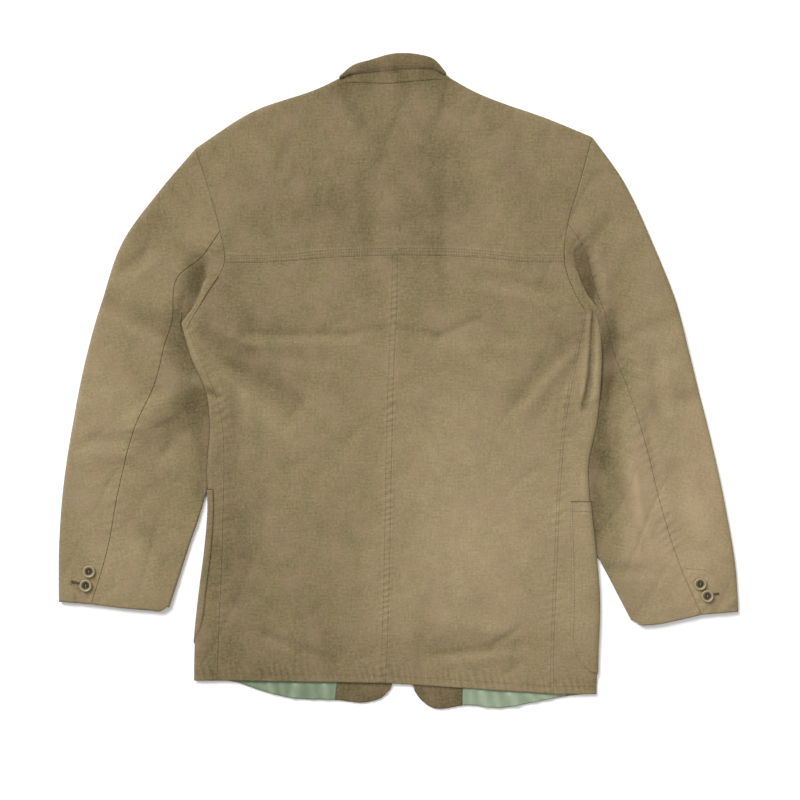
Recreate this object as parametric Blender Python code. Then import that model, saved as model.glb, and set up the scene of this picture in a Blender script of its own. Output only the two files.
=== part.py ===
"""A lined linen blazer lying flat on its front, with its back up.

X runs across the picture, Y runs up it towards the collar and Z rises from the table.  Left and right are
the picture's.  Plan sizes and heights are millimetres, and MM turns them into metres.
"""

import math
from collections import namedtuple

import bmesh
import bpy
import numpy as np

MM = 0.001

CLOTH = 1.2  # wall of the linen
SATIN = 1.0  # wall of the lining and the facings
SEAM_GAP = 0.3  # air between neighbouring pieces
LOFT = 6.4  # usual height of the upper cloth above the table
LOWEST = 3.7  # height of the upper cloth in the deepest troughs
SIDE_ROLL = 7.0  # plan radius of the rolled edges of the body and shoulders
SLEEVE_ROLL = 6.0  # plan radius of a sleeve's rolled outer edge
INNER_ROLL = 2.8  # plan radius of a sleeve's rolled inner edge
COLLAR_ROLL = 3.0  # plan radius of the collar's rolled top
COLLAR_DROP = 5.5  # height of the collar's rolled top from its lower to its upper side
ROLL_ANGLES = np.radians((-50, 0, 50))
MIDDLE = (-1.87, -1.03)  # middle of the outline, which is moved to the origin

FRONT_COLUMNS = 9  # columns across a front, and along a shoulder
NECK_COLUMNS = 6
EDGE_HOLD = 3  # power with which the shape of a panel's end fades towards its middle
STRIP_COLUMNS = 3  # columns across the part of a front that shows beside the side seam
HEM_CROWD = 1.2  # how much the columns of a front close up towards its rounded corner
FACING_COLUMNS = 3  # columns of a front that its facing covers
HEM_ROWS = 2  # rows of a front that its facing and lining cover
POCKET_COLUMN = 4  # column of a front where its pocket starts
LAPEL_REACH = 34.0  # a front is lifted this far around what lies under it
BUTTON_REACH = 42.0

CUFF_BUTTON = (7.75, 3.0)  # radius and height
FRONT_BUTTON = (10.0, 2.6)
BUTTON_SIDES = 14

LINEN = (0.26, 0.20, 0.11, 1.0)
MINT = (0.38, 0.46, 0.30, 1.0)
HORN = (0.16, 0.13, 0.06, 1.0)

# Sections across the body from hem to pit; steps is the number of rows up to the next section.
Section = namedtuple(
    "Section", "name steps left_y left_edge left_seam mid_y mid right_y right_seam right_edge"
)
BODY = (
    Section("hem", 2, -376, -258, -229, -379, -17.5, -393, 192.5, 246),
    Section("pocket foot", 3, -332, -257, -227, -333, -15.5, -346, 192.5, 247),
    Section("seat", 3, -270, -251, -224.5, -275, -13.5, -275, 195, 249),
    Section("hip", 3, -210, -243.5, -222, -216, -12.2, -215, 197.5, 244.5),
    Section("pocket mouth", 2, -160, -239.5, -221, -160, -11.2, -152, 200, 238),
    Section("waist", 3, -113, -241.5, -220, -113, -10.4, -110, 203, 236),
    Section("small of back", 2, -54, -238, -222.5, -54, -9, -52, 208, 247),
    Section("rib", 2, -18, -242, -231, -15, -8.2, -18, 213.5, 250.5),
    Section("chest", 2, 31, -262.5, -252, 30, -6.5, 33, 223.5, 253),
    Section("pit", 0, 66, -272.5, -266.5, 76, -4, 84.5, 233, 248.5),
)

# The seam round each armhole, from pit to shoulder, on the back and on the front.
Armhole = namedtuple("Armhole", "name back_steps back_x back_y front_steps front_x front_y")
ARMHOLES = {
    "left": (
        Armhole("pit", 2, -266.5, 66, 1, -270, 66),
        Armhole("notch", 2, -240, 111, 1, -240, 100),
        Armhole("yoke", 2, -219.5, 146, 1, -218, 140),
        Armhole("sleeve seam", 3, -224.5, 186, 2, -214, 186),
        Armhole("cap", 3, -236, 230, 2, -226, 238),
        Armhole("shoulder", 0, -255.5, 290, 0, -255.5, 290),
    ),
    "right": (
        Armhole("pit", 2, 233, 84.5, 1, 241.5, 85),
        Armhole("notch", 2, 221, 105, 1, 219, 106),
        Armhole("yoke", 2, 206, 147, 1, 203, 147),
        Armhole("sleeve seam", 3, 210, 195.5, 2, 201, 195),
        Armhole("cap", 3, 222, 237, 2, 213, 246),
        Armhole("shoulder", 0, 240.5, 304, 0, 240.5, 304),
    ),
}

# Sections across each sleeve from cuff to head: its outer fold, its back seam and its inner fold.
Cut = namedtuple("Cut", "name steps outer_x outer_y seam_x seam_y inner_x inner_y")
SLEEVES = {
    "left": (
        Cut("cuff", 2, -427, -277.5, -386, -280.5, -287, -283),
        Cut("wrist", 3, -427, -215, -367, -217, -266.5, -216),
        Cut("forearm", 3, -421, -130, -352, -138, -243.5, -140),
        Cut("elbow", 2, -408, -47, -333, -64, -241.5, -80),
        Cut("mid", 2, -397, 10, -305, 0, -244.8, -16),
        Cut("upper", 2, -386, 55, -293, 48, -265, 30),
        Cut("pit", 2, -372, 102, -285.5, 72, -277, 60),
        Cut("hook", 2, -348, 171, -278, 128, -275.5, 69.5),
        Cut("cap", 2, -300, 238, -247, 155, -271.5, 71.5),
        Cut("head", 0, -255.5, 290, -224.5, 186, -267, 72),
    ),
    "right": (
        Cut("cuff", 2, 423.5, -290, 377.5, -293.5, 289, -300),
        Cut("wrist", 3, 420.5, -240, 353.5, -240, 263.5, -251),
        Cut("forearm", 3, 407.5, -160, 328, -162, 248.5, -221),
        Cut("elbow", 2, 390, -78, 308, -82, 242, -150),
        Cut("mid", 2, 373, -10, 285, -10, 241, -100),
        Cut("upper", 2, 360, 42, 270.5, 36, 253.5, -25),
        Cut("pit", 2, 348, 90, 264.5, 76, 256, 60),
        Cut("hook", 2, 318, 167, 245, 120, 251.5, 90),
        Cut("cap", 2, 277, 253, 230, 165, 245.5, 91.5),
        Cut("head", 0, 240.5, 304, 210, 195.5, 238.5, 92),
    ),
}
CUFF_BULGE = {"left": (-303, -289), "right": (308, -307.5)}
UNDER_COLUMNS = 4  # armhole columns of the under sleeve from the yoke seam to the pit
CAP_COLUMNS = 2  # armhole columns of the under sleeve above the yoke seam
UPPER_COLUMNS = 6  # armhole columns of the upper sleeve
FLOOR_UNDER = 1  # floor columns of a sleeve that belong to its under sleeve

# Seams and edges that cross the body, each from left to right or from hem to neck.
YOKE_SEAM = {
    "left": ((-219.5, 146), (-150, 147.5), (-87, 153), (-2, 156)),
    "right": ((-2, 156), (52, 155), (96, 153), (151, 147.5), (206, 147)),
}
SHOULDER = {
    "left": ((-255.5, 290), (-185, 335.5), (-96, 367.5), (-76, 377.5)),
    "right": ((240.5, 304), (191, 324.5), (83, 366), (56, 382)),
}
NECK = ((-47.5, 371.5), (-13, 370), (8, 372))
FRONT_HEM = {
    "left": ((-12, -387), (-23, -397.5), (-40, -403), (-80, -400.5), (-138, -397.5), (-176, -388), (-208, -377.5)),
    "right": ((18, -389), (25, -399), (38, -409), (86, -407), (125, -410.5), (165, -404), (210, -395.5)),
}
FRONT_EDGE = {
    "left": ((-12, -387), (-4, -362), (-2.5, -275), (-3, 60)),
    "right": ((18, -389), (13.5, -360), (12, -275), (12, 76)),
}

# Sections across the collar: the fall's lower edge and its rolled top.
CollarCut = namedtuple("CollarCut", "name x edge_y top_y")
COLLAR = (
    CollarCut("left end", -74, 378.5, 381),
    CollarCut("left bend", -59, 382, 394),
    CollarCut("left leaf", -38, 384.5, 400.5),
    CollarCut("middle", -4, 387.5, 409),
    CollarCut("right leaf", 23, 389, 407.5),
    CollarCut("right bend", 41, 388, 402.5),
    CollarCut("right end", 55, 384, 386.5),
)
COLLAR_STEPS = 3  # columns between two collar sections
STAND_INSET = 2.5  # how far the stand's ends stay inside the rolled shoulders

# Hidden lapels and collar leaves, each from its inner lower corner round to its outer lower corner.
Leaf = namedtuple("Leaf", "name side inner_low inner_high outer_high outer_low")
LEAVES = (
    Leaf("lapel_left", "left", (-10, 82), (-58, 296), (-138, 282), (-22, 74)),
    Leaf("lapel_right", "right", (19, 92), (48, 296), (126, 282), (31, 84)),
    Leaf("collar_leaf_left", "left", (-60, 303), (-76, 352), (-116, 338), (-128, 296)),
    Leaf("collar_leaf_right", "right", (49, 303), (60, 356), (104, 342), (117, 296)),
)

# Each pocket covers some rows of its front and ends on a column of the wrapped side.
Pocket = namedtuple("Pocket", "low_row high_row wrap_columns")
POCKETS = {"left": Pocket(2, 12, 3), "right": Pocket(1, 11, 6)}

Spot = namedtuple("Spot", "name x y")
CUFF_BUTTONS = (
    Spot("cuff_button_left_high", -388.5, -239.5),
    Spot("cuff_button_left_low", -392.5, -257),
    Spot("cuff_button_right_high", 375, -255),
    Spot("cuff_button_right_low", 384, -270),
)
FRONT_BUTTONS = (
    Spot("front_button_high", 27, 42),
    Spot("front_button_middle", 27, -66),
    Spot("front_button_low", 27, -174),
)

# Broad swells of the upper cloth, and its main folds; a fold with a negative rise is a trough.
Swell = namedtuple("Swell", "name x y reach_x reach_y rise")
SWELLS = (
    Swell("left shoulder", -225, 255, 55, 60, 3.0),
    Swell("right shoulder", 212, 265, 55, 60, 3.0),
    Swell("neck", -9, 375, 90, 35, 1.5),
    Swell("hem", -10, -395, 500, 45, -1.5),
    Swell("left seat", -120, -190, 80, 120, 1.0),
    Swell("right seat", 100, -210, 80, 120, 1.2),
)
Fold = namedtuple("Fold", "name layer x0 y0 x1 y1 half_width rise")
FOLDS = (
    Fold("left pit valley", "sleeve", -254, 140, -270, 82, 11, -3.5),
    Fold("right pit valley", "sleeve", 230, 152, 243, 100, 10, -3.5),
    Fold("left arm beside body", "sleeve", -272, 55, -242, -60, 13, -2.6),
    Fold("left arm below body", "sleeve", -240, -60, -245, -140, 12, -2.2),
    Fold("right arm beside body", "sleeve", 255, 60, 243, -100, 13, -2.6),
    Fold("right arm below body", "sleeve", 240, -100, 247, -215, 12, -2.2),
    Fold("left elbow trough", "sleeve", -250, -30, -310, -84, 15, -2.6),
    Fold("left elbow ridge", "sleeve", -262, -5, -325, -45, 16, 2.4),
    Fold("left upper arm trough", "sleeve", -368, 98, -296, 62, 15, -2.2),
    Fold("right arm ridge", "sleeve", 283, -55, 302, -215, 20, 2.4),
    Fold("right arm trough", "sleeve", 338, -60, 352, -190, 18, -1.8),
    Fold("left drag", "body", -236, 48, -145, -15, 17, -1.8),
    Fold("left drag ridge", "body", -225, 15, -150, -60, 18, 2.2),
    Fold("right drag", "body", 212, 45, 150, -20, 17, -1.8),
    Fold("back trough", "body", -180, 62, 140, 60, 18, -1.2),
    Fold("seat trough", "body", 42, -336, 150, -334, 15, -1.2),
    Fold("yoke drag left", "body", -68, 358, -35, 300, 14, -1.8),
    Fold("yoke ridge right", "body", 90, 330, 130, 200, 24, 1.6),
)


def smooth(points, steps):
    """Points on a smooth curve through the given points, with some steps in each interval."""
    knots = np.array(points, float)
    counts = [steps] * (len(knots) - 1) if np.isscalar(steps) else steps
    chord = np.linalg.norm(np.diff(knots, axis=0), axis=1)[:, None]
    slope = np.diff(knots, axis=0) / chord
    inside = (slope[:-1] * chord[1:] + slope[1:] * chord[:-1]) / (chord[:-1] + chord[1:])
    tangent = np.vstack([slope[:1], inside, slope[-1:]])
    curve = [knots[:1]]
    for start, count in enumerate(counts[: len(chord)]):
        t = np.arange(1, count + 1)[:, None] / count
        rise = t * t * (3 - 2 * t)
        leave = t * (1 - t) ** 2 * chord[start]
        arrive = t * t * (t - 1) * chord[start]
        held = knots[start] * (1 - rise) + knots[start + 1] * rise
        curve.append(held + tangent[start] * leave + tangent[start + 1] * arrive)
    return np.vstack(curve)


def spread(points, count, crowd=1.0):
    """Points spaced along a smooth curve through the given points, closer to its start for a crowd above 1."""
    fine = smooth(points, 16)
    length = np.concatenate([[0], np.cumsum(np.linalg.norm(np.diff(fine, axis=0), axis=1))])
    places = length[-1] * np.linspace(0, 1, count + 1) ** crowd
    return np.column_stack([np.interp(places, length, fine[:, axis]) for axis in (0, 1)])


def coons(bottom, top, left, right):
    """The plan grid that fills four edges, with rows from bottom to top."""
    u = np.linspace(0, 1, len(bottom))[None, :, None]
    v = np.linspace(0, 1, len(left))[:, None, None]
    ruled = (1 - u) * left[:, None] + u * right[:, None]
    low = bottom - ((1 - u) * bottom[0] + u * bottom[-1])
    high = top - ((1 - u) * top[0] + u * top[-1])
    return ruled + (1 - v) ** EDGE_HOLD * low + v**EDGE_HOLD * high


def towards(start, finish, distance):
    """The point at a distance from start on the way to finish."""
    step = np.subtract(finish, start)
    return start + step * distance / np.linalg.norm(step)


def normals(edge, sign):
    """Unit plan normals of an edge, turned to its left for sign 1 and to its right for sign -1."""
    run = np.gradient(edge, axis=0)
    run /= np.linalg.norm(run, axis=1)[:, None]
    return sign * np.column_stack([-run[:, 1], run[:, 0]])


def ridge(x, y, fold):
    """How much of a fold's rise reaches each point."""
    along_x, along_y = fold.x1 - fold.x0, fold.y1 - fold.y0
    length = math.hypot(along_x, along_y)
    share = ((x - fold.x0) * along_x + (y - fold.y0) * along_y) / length**2
    across = ((x - fold.x0) * along_y - (y - fold.y0) * along_x) / length
    beyond = np.maximum(np.abs(share - 0.5) - 0.5, 0) * length
    return np.exp(-(across**2 + beyond**2) / fold.half_width**2)


def upper_height(plan, layer):
    """Height of the upper side of the upper cloth over each plan point."""
    x, y = plan[..., 0], plan[..., 1]
    height = np.full(x.shape, LOFT)
    for swell in SWELLS:
        away = ((x - swell.x) / swell.reach_x) ** 2 + ((y - swell.y) / swell.reach_y) ** 2
        height += swell.rise * np.exp(-away)
    for fold in FOLDS:
        if fold.layer == layer:
            height += fold.rise * ridge(x, y, fold)
    return np.maximum(height, LOWEST)


def raised(plan, height):
    """Plan points with a height each."""
    return np.concatenate([plan, np.broadcast_to(height, plan.shape[:-1])[..., None]], axis=-1)


def upper(plan, layer):
    """Outer and inner points of the upper cloth over a plan."""
    height = upper_height(plan, layer)
    return raised(plan, height), raised(plan, height - CLOTH)


def lower(plan, lift):
    """Outer and inner points of the cloth that lies on the table."""
    return raised(plan, lift), raised(plan, lift + CLOTH)


def roll(edge, inward, radius, low, high):
    """Outer and inner points of a rolled edge, a column for each roll angle."""
    radius = np.broadcast_to(radius, len(edge))[:, None]
    middle, half = (low + high) / 2, (high - low) / 2
    outer, inner = [], []
    for angle in ROLL_ANGLES:
        back = 1 - math.cos(angle)
        outer.append(raised(edge + inward * radius * back, middle + half * math.sin(angle)))
        inside = CLOTH + (radius - CLOTH) * back
        inner.append(raised(edge + inward * inside, middle + (half - CLOTH) * math.sin(angle)))
    return np.stack(outer, axis=1), np.stack(inner, axis=1)


def joined(*sides):
    """Grids of outer and inner points set side by side, with shared columns left out once."""
    outer = np.concatenate([side[0] for side in sides], axis=1)
    inner = np.concatenate([side[1] for side in sides], axis=1)
    return outer, inner


def drawn_in(outer, inner, cells):
    """The grids with each free edge drawn in by half the seam gap."""
    rows, columns = cells.shape
    around = np.pad(cells, 1)
    shift = np.zeros_like(outer)
    for r in range(rows + 1):
        for c in range(columns + 1):
            low_left, low_right = around[r, c], around[r, c + 1]
            high_left, high_right = around[r + 1, c], around[r + 1, c + 1]
            down, up = low_left or low_right, high_left or high_right
            left, right = low_left or high_left, low_right or high_right
            here = outer[r, c]
            if up != down:
                step = outer[r + 1 if up else r - 1, c] - here
                along = outer[r, c + 1 if right else c - 1] - here
                shift[r, c] += square_step(step, along)
            if left != right:
                step = outer[r, c + 1 if right else c - 1] - here
                along = outer[r + 1 if up else r - 1, c] - here
                shift[r, c] += square_step(step, along)
    return outer + shift, inner + shift


def square_step(step, along):
    """Half a seam gap along step, kept square to the edge that runs along."""
    along = along / np.linalg.norm(along)
    square = step - along * (step @ along)
    return square / np.linalg.norm(square) * SEAM_GAP / 2


def wall(name, outer, inner, colour, cells=None):
    """One closed wall between two matching grids of points, over the chosen cells."""
    rows, columns = outer.shape[:2]
    if cells is None:
        cells = np.ones((rows - 1, columns - 1), bool)
    outer, inner = drawn_in(outer, inner, cells)
    around = np.pad(cells, 1)
    places = np.concatenate([outer.reshape(-1, 3), inner.reshape(-1, 3)])
    places[:, 2] = np.maximum(places[:, 2], 0)
    far = rows * columns
    faces = []
    for r, c in np.argwhere(cells):
        first = r * columns + c
        ring = (first, first + 1, first + columns + 1, first + columns)
        faces.append(ring)
        faces.append(tuple(far + corner for corner in reversed(ring)))
        beside = (around[r, c + 1], around[r + 1, c + 2], around[r + 2, c + 1], around[r + 1, c])
        for corner, covered in enumerate(beside):
            if not covered:
                start, finish = ring[corner], ring[(corner + 1) % 4]
                faces.append((finish, start, far + start, far + finish))
    return solid(name, places, faces, colour)


def solid(name, places, faces, colour):
    """A mesh object from the points that its faces use."""
    used = sorted({corner for face in faces for corner in face})
    renumbered = {old: new for new, old in enumerate(used)}
    middle = np.array([*MIDDLE, 0])
    mesh = bpy.data.meshes.new(name)
    mesh.from_pydata(
        [(places[k] - middle) * MM for k in used],
        [],
        [[renumbered[corner] for corner in face] for face in faces],
    )
    shape = bmesh.new()
    shape.from_mesh(mesh)
    bmesh.ops.recalc_face_normals(shape, faces=shape.faces)
    shape.to_mesh(mesh)
    shape.free()
    material = bpy.data.materials.new(name)
    material.use_nodes = True
    shader = material.node_tree.nodes["Principled BSDF"]
    shader.inputs["Base Color"].default_value = colour
    shader.inputs["Roughness"].default_value = 0.85
    mesh.materials.append(material)
    thing = bpy.data.objects.new(name, mesh)
    bpy.context.scene.collection.objects.link(thing)
    return thing


def body_rows(y_field, x_field):
    """A line up the body through all its sections."""
    points = [(getattr(row, x_field), getattr(row, y_field)) for row in BODY]
    return smooth(points, [row.steps for row in BODY])


def armhole_rows(side, face):
    """The armhole seam of one side from pit to shoulder, on the back or the front."""
    rows = ARMHOLES[side]
    points = [(getattr(row, face + "_x"), getattr(row, face + "_y")) for row in rows]
    return smooth(points, [getattr(row, face + "_steps") for row in rows])


def sleeve_rows(side, line):
    """One line down a sleeve, from cuff to head."""
    rows = SLEEVES[side]
    points = [(getattr(row, line + "_x"), getattr(row, line + "_y")) for row in rows]
    return smooth(points, [row.steps for row in rows])


def shoulder_roll(side):
    """Edge and inward directions of a shoulder's roll, from shoulder point to neck."""
    edge = spread(SHOULDER[side], FRONT_COLUMNS)
    inward = normals(edge, -1 if side == "left" else 1)
    point = towards(edge[0], armhole_rows(side, "back")[-2], 1.0)
    inward[0] = point - edge[0]
    return edge, inward


def back_armhole(side):
    """The back armhole from pit to the start of the shoulder's roll."""
    seam = armhole_rows(side, "back")
    seam[-1] = towards(seam[-1], seam[-2], SIDE_ROLL)
    return seam


def front_armhole(side):
    """The front armhole from the side's roll to the shoulder's roll."""
    seam = armhole_rows(side, "front")
    edge, inward = shoulder_roll(side)
    seam[-1] = edge[0] + inward[0] * SIDE_ROLL
    seam[0] = side_roll(side)[3][-1]
    return seam


def side_roll(side):
    """Edge, inward directions, radii and inner line of the roll down one side of the body."""
    edge = body_rows(side + "_y", side + "_edge")
    seam = body_rows(side + "_y", side + "_seam")
    inward = (seam - edge) / np.linalg.norm(seam - edge, axis=1)[:, None]
    radius = np.minimum(SIDE_ROLL, 0.45 * np.linalg.norm(seam - edge, axis=1))
    return edge, inward, radius, edge + inward * radius[:, None]


def leaf_grid(leaf):
    """Plan grid of a hidden lapel or collar leaf."""
    bottom = np.linspace(leaf.inner_low, leaf.outer_low, 5)
    top = np.linspace(leaf.inner_high, leaf.outer_high, 5)
    left = np.linspace(leaf.inner_low, leaf.inner_high, 9)
    right = np.linspace(leaf.outer_low, leaf.outer_high, 9)
    return coons(bottom, top, left, right)


def covered_lift(plan, side):
    """How far a front is lifted by the lapel, leaf and buttons that lie under it."""
    lift = np.zeros(plan.shape[:-1])
    for leaf in LEAVES:
        if leaf.side == side:
            gaps = np.linalg.norm(plan[..., None, :] - leaf_grid(leaf).reshape(-1, 2), axis=-1)
            lift = np.where(gaps.min(axis=-1) < LAPEL_REACH, CLOTH + SEAM_GAP, lift)
    if side == "right":
        for spot in FRONT_BUTTONS:
            near = np.hypot(plan[..., 0] - spot.x, plan[..., 1] - spot.y) < BUTTON_REACH
            lift = np.where(near, FRONT_BUTTON[1] + SEAM_GAP, lift)
    return lift


def neck_seam():
    """The yoke's neck edge between its two shoulders."""
    left, right = (edge[-1] + inward[-1] * SIDE_ROLL for edge, inward in map(shoulder_roll, ("left", "right")))
    return spread((left, *NECK, right), NECK_COLUMNS)


def build_back(side):
    """One half of the back, from hem to yoke seam."""
    flank = body_rows(side + "_y", side + "_seam")
    arm = armhole_rows(side, "back")[1 : UNDER_COLUMNS + 1]
    middle = body_rows("mid_y", "mid")
    above = spread((middle[-1], YOKE_SEAM["left"][-1]), UNDER_COLUMNS)[1:]
    flank, middle = np.vstack([flank, arm]), np.vstack([middle, above])
    columns = FRONT_COLUMNS + NECK_COLUMNS // 2
    if side == "left":
        plan = coons(
            np.linspace(flank[0], middle[0], columns + 1), spread(YOKE_SEAM["left"], columns), flank, middle
        )
    else:
        plan = coons(
            np.linspace(middle[0], flank[0], columns + 1), spread(YOKE_SEAM["right"], columns), middle, flank
        )
    wall("back_" + side, *upper(plan, "body"), LINEN)


def build_yoke():
    """The yoke, with a roll over each shoulder that ends at the shoulder seam on the table side."""
    half = FRONT_COLUMNS + NECK_COLUMNS // 2
    bottom = np.vstack([spread(YOKE_SEAM["left"], half), spread(YOKE_SEAM["right"], half)[1:]])
    edges = {side: shoulder_roll(side) for side in SHOULDER}
    starts = {side: edge + inward * SIDE_ROLL for side, (edge, inward) in edges.items()}
    top = np.vstack([starts["left"], neck_seam()[1:-1], starts["right"][::-1]])
    left = back_armhole("left")[UNDER_COLUMNS:]
    right = back_armhole("right")[UNDER_COLUMNS:]
    outer, inner = upper(coons(bottom, top, left, right), "body")
    rows, columns = outer.shape[0], outer.shape[1]
    extra = len(ROLL_ANGLES) + 1
    outer = np.concatenate([outer, np.full((extra, columns, 3), np.nan)])
    inner = np.concatenate([inner, np.full((extra, columns, 3), np.nan)])
    cells = np.ones((rows - 1 + extra, columns - 1), bool)
    cells[rows - 1 :, FRONT_COLUMNS : FRONT_COLUMNS + NECK_COLUMNS] = False
    for side, (edge, inward) in edges.items():
        low = covered_lift(starts[side], side)
        high = upper_height(starts[side], "body")
        turned = roll(edge, inward, SIDE_ROLL, low, high)
        foot = lower(starts[side], low)
        for grid, bend, end in zip((outer, inner), turned, foot):
            rolled = np.concatenate([bend[:, ::-1].transpose(1, 0, 2), end[None]])
            if side == "left":
                grid[rows:, : FRONT_COLUMNS + 1] = rolled
            else:
                grid[rows:, FRONT_COLUMNS + NECK_COLUMNS :] = rolled[:, ::-1]
    wall("yoke", outer, inner, LINEN, cells)


def build_front(side):
    """A front with its facing, lining and pocket: table part, rolled side and the strip up to the side seam."""
    edge, inward, radius, start = side_roll(side)
    seam = body_rows(side + "_y", side + "_seam")
    armhole = front_armhole(side)
    side_rows, arm_rows = len(edge) - 1, len(armhole) - 1
    shoulder, shoulder_in = shoulder_roll(side)
    top = (shoulder + shoulder_in * SIDE_ROLL)[::-1]
    hem = spread((*FRONT_HEM[side], start[0]), FRONT_COLUMNS, HEM_CROWD)
    lapel_line = np.linspace(FRONT_EDGE[side][-1], top[0], arm_rows + 1)
    opening = np.vstack([spread(FRONT_EDGE[side], side_rows), lapel_line[1:]])
    plan = coons(hem, top, opening, np.vstack([start, armhole[1:]]))

    pocket = POCKETS[side]
    lift = covered_lift(plan, side)
    pocket_rows = slice(pocket.low_row, pocket.high_row + 1)
    lift[pocket_rows, POCKET_COLUMN:] = CLOTH + SEAM_GAP
    low = lift[: side_rows + 1, -1]
    rolled = roll(edge, inward, radius, low, upper_height(start, "body"))
    strip = upper(np.linspace(start, seam, STRIP_COLUMNS + 1, axis=1), "body")
    wrapped = joined(rolled, strip)
    wrap_columns = wrapped[0].shape[1]
    gone = np.full((arm_rows, wrap_columns, 3), np.nan)
    wrapped = [np.concatenate([grid, gone]) for grid in wrapped]
    outer, inner = joined(lower(plan, lift), wrapped)
    cells = np.ones((side_rows + arm_rows, FRONT_COLUMNS + wrap_columns), bool)
    cells[side_rows:, FRONT_COLUMNS:] = False
    wall("front_" + side, outer, inner, LINEN, cells)

    last = FRONT_COLUMNS + pocket.wrap_columns
    patch = (pocket_rows, slice(POCKET_COLUMN, last + 1))
    out = (outer[patch] - inner[patch]) / np.linalg.norm(outer[patch] - inner[patch], axis=-1)[..., None]
    touching = outer[patch] + out * SEAM_GAP
    bag = touching + out * CLOTH
    for grid in (touching, bag):
        for corner, beside in ((0, 1), (-1, -2)):
            grid[0, corner] = (grid[0, beside] + grid[1, corner]) / 2
    wall("pocket_" + side, bag, touching, LINEN)

    up = np.array([0, 0, SEAM_GAP])
    for name, columns, colour in (
        ("facing_", slice(0, FACING_COLUMNS + 1), LINEN),
        ("lining_", slice(FACING_COLUMNS, FRONT_COLUMNS), MINT),
    ):
        under = inner[: HEM_ROWS + 1, columns] + up
        wall(name + side, under, under + np.array([0, 0, SATIN]), colour)


def build_sleeve(side):
    """Upper and under sleeve: a flattened tube from cuff to armhole, split along its two seams."""
    turn = -1 if side == "left" else 1
    outer_edge, back_seam, inner_edge = (sleeve_rows(side, line) for line in ("outer", "seam", "inner"))
    armhole, floor_hole = back_armhole(side)[::-1], front_armhole(side)[::-1]
    outer_in = normals(outer_edge, turn)
    outer_in[-1] = (armhole[0] - outer_edge[-1]) / SIDE_ROLL
    outer_radius = np.linspace(SLEEVE_ROLL, SIDE_ROLL, len(outer_edge))
    outer_start = outer_edge + outer_in * outer_radius[:, None]
    inner_in = normals(inner_edge, -turn)
    armhole[-1] = towards(armhole[-1], armhole[-2], 2 * INNER_ROLL)
    floor_hole[-1] = towards(floor_hole[-1], floor_hole[-2], 2 * INNER_ROLL)
    inner_in[-1] = towards(inner_edge[-1], armhole[-1], 1.0) - inner_edge[-1]
    inner_start = inner_edge + inner_in * INNER_ROLL
    inner_start[-1] = armhole[-1]

    cap = armhole[: UPPER_COLUMNS + 1]
    pit = armhole[UPPER_COLUMNS:]
    upper_plan = coons(
        np.linspace(outer_start[0], back_seam[0], UPPER_COLUMNS + 1), cap, outer_start, back_seam
    )
    under_cuff = spread((back_seam[0], CUFF_BULGE[side], inner_start[0]), CAP_COLUMNS + UNDER_COLUMNS)
    under_plan = coons(under_cuff, pit, back_seam, inner_start)
    floor_columns = len(floor_hole) - 1
    floor_start, floor_end = outer_start.copy(), inner_start.copy()
    floor_start[-1], floor_end[-1] = floor_hole[0], floor_hole[-1]
    floor_cuff = spread((outer_start[0], back_seam[0], CUFF_BULGE[side], inner_start[0]), floor_columns)
    floor_plan = coons(floor_cuff, floor_hole, floor_start, floor_end)

    flat = np.zeros(len(outer_edge))
    split = floor_columns - FLOOR_UNDER
    outer_roll = roll(outer_edge, outer_in, outer_radius, flat, upper_height(outer_start, "sleeve"))
    inner_roll = roll(inner_edge, inner_in, INNER_ROLL, flat, upper_height(inner_start, "sleeve"))
    floor = lower(floor_plan, 0.0)
    wall(
        "upper_sleeve_" + side,
        *joined(
            [grid[:, split::-1] for grid in floor],
            outer_roll,
            upper(upper_plan, "sleeve"),
        )[:2],
        LINEN,
    )
    wall(
        "under_sleeve_" + side,
        *joined(
            [grid[:, split:] for grid in floor],
            inner_roll,
            [grid[:, ::-1] for grid in upper(under_plan, "sleeve")],
        ),
        LINEN,
    )


def build_collar():
    """The collar's stand behind the neck and the fall that folds down over it."""
    steps = [COLLAR_STEPS] * (len(COLLAR) - 1)
    edge = smooth([(row.x, row.edge_y) for row in COLLAR], steps)
    top = smooth([(row.x, row.top_y) for row in COLLAR], steps)
    seam = neck_seam()
    across = np.interp(edge[:, 0], edge[[0, -1], 0], seam[[0, -1], 0] + np.array([STAND_INSET, -STAND_INSET]))
    neck = np.column_stack([across, np.interp(across, seam[:, 0], seam[:, 1])])
    depth = (top - edge)[:, 1]
    radius = np.minimum(COLLAR_ROLL, 0.5 * depth)
    start = top - np.column_stack([np.zeros(len(top)), radius])
    inward = np.tile((0.0, -1.0), (len(top), 1))

    neck_height = upper_height(neck, "body")
    low = neck_height - COLLAR_DROP
    stand_plan = np.linspace(neck, start, 4, axis=1)
    share = np.linspace(0, 1, 4)[None, :]
    stand_height = neck_height[:, None] * (1 - share) + (low + CLOTH)[:, None] * share
    wall("collar_stand", raised(stand_plan, stand_height), raised(stand_plan, stand_height - CLOTH), LINEN)

    fall_plan = np.linspace(start, edge, 4, axis=1)
    under = (start[:, 1, None] - fall_plan[..., 1]) / (start - neck)[:, 1, None]
    clear = neck_height[:, None] * under + (low + CLOTH)[:, None] * (1 - under)
    fall_height = clear + 2 * SEAM_GAP + CLOTH + (COLLAR_DROP - 2 * CLOTH - SEAM_GAP) * (1 - share**2)
    fall = raised(fall_plan, fall_height), raised(fall_plan, fall_height - CLOTH)
    bend = roll(top, inward, radius, low, fall_height[:, 0])
    wall("collar_fall", *joined(lower(start[:, None], low[:, None]), bend, fall), LINEN)


def build_leaves():
    """The lapels and collar leaves that lie hidden under the fronts."""
    for leaf in LEAVES:
        plan = leaf_grid(leaf)
        wall(leaf.name, *lower(plan, 0.0), LINEN)


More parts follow.
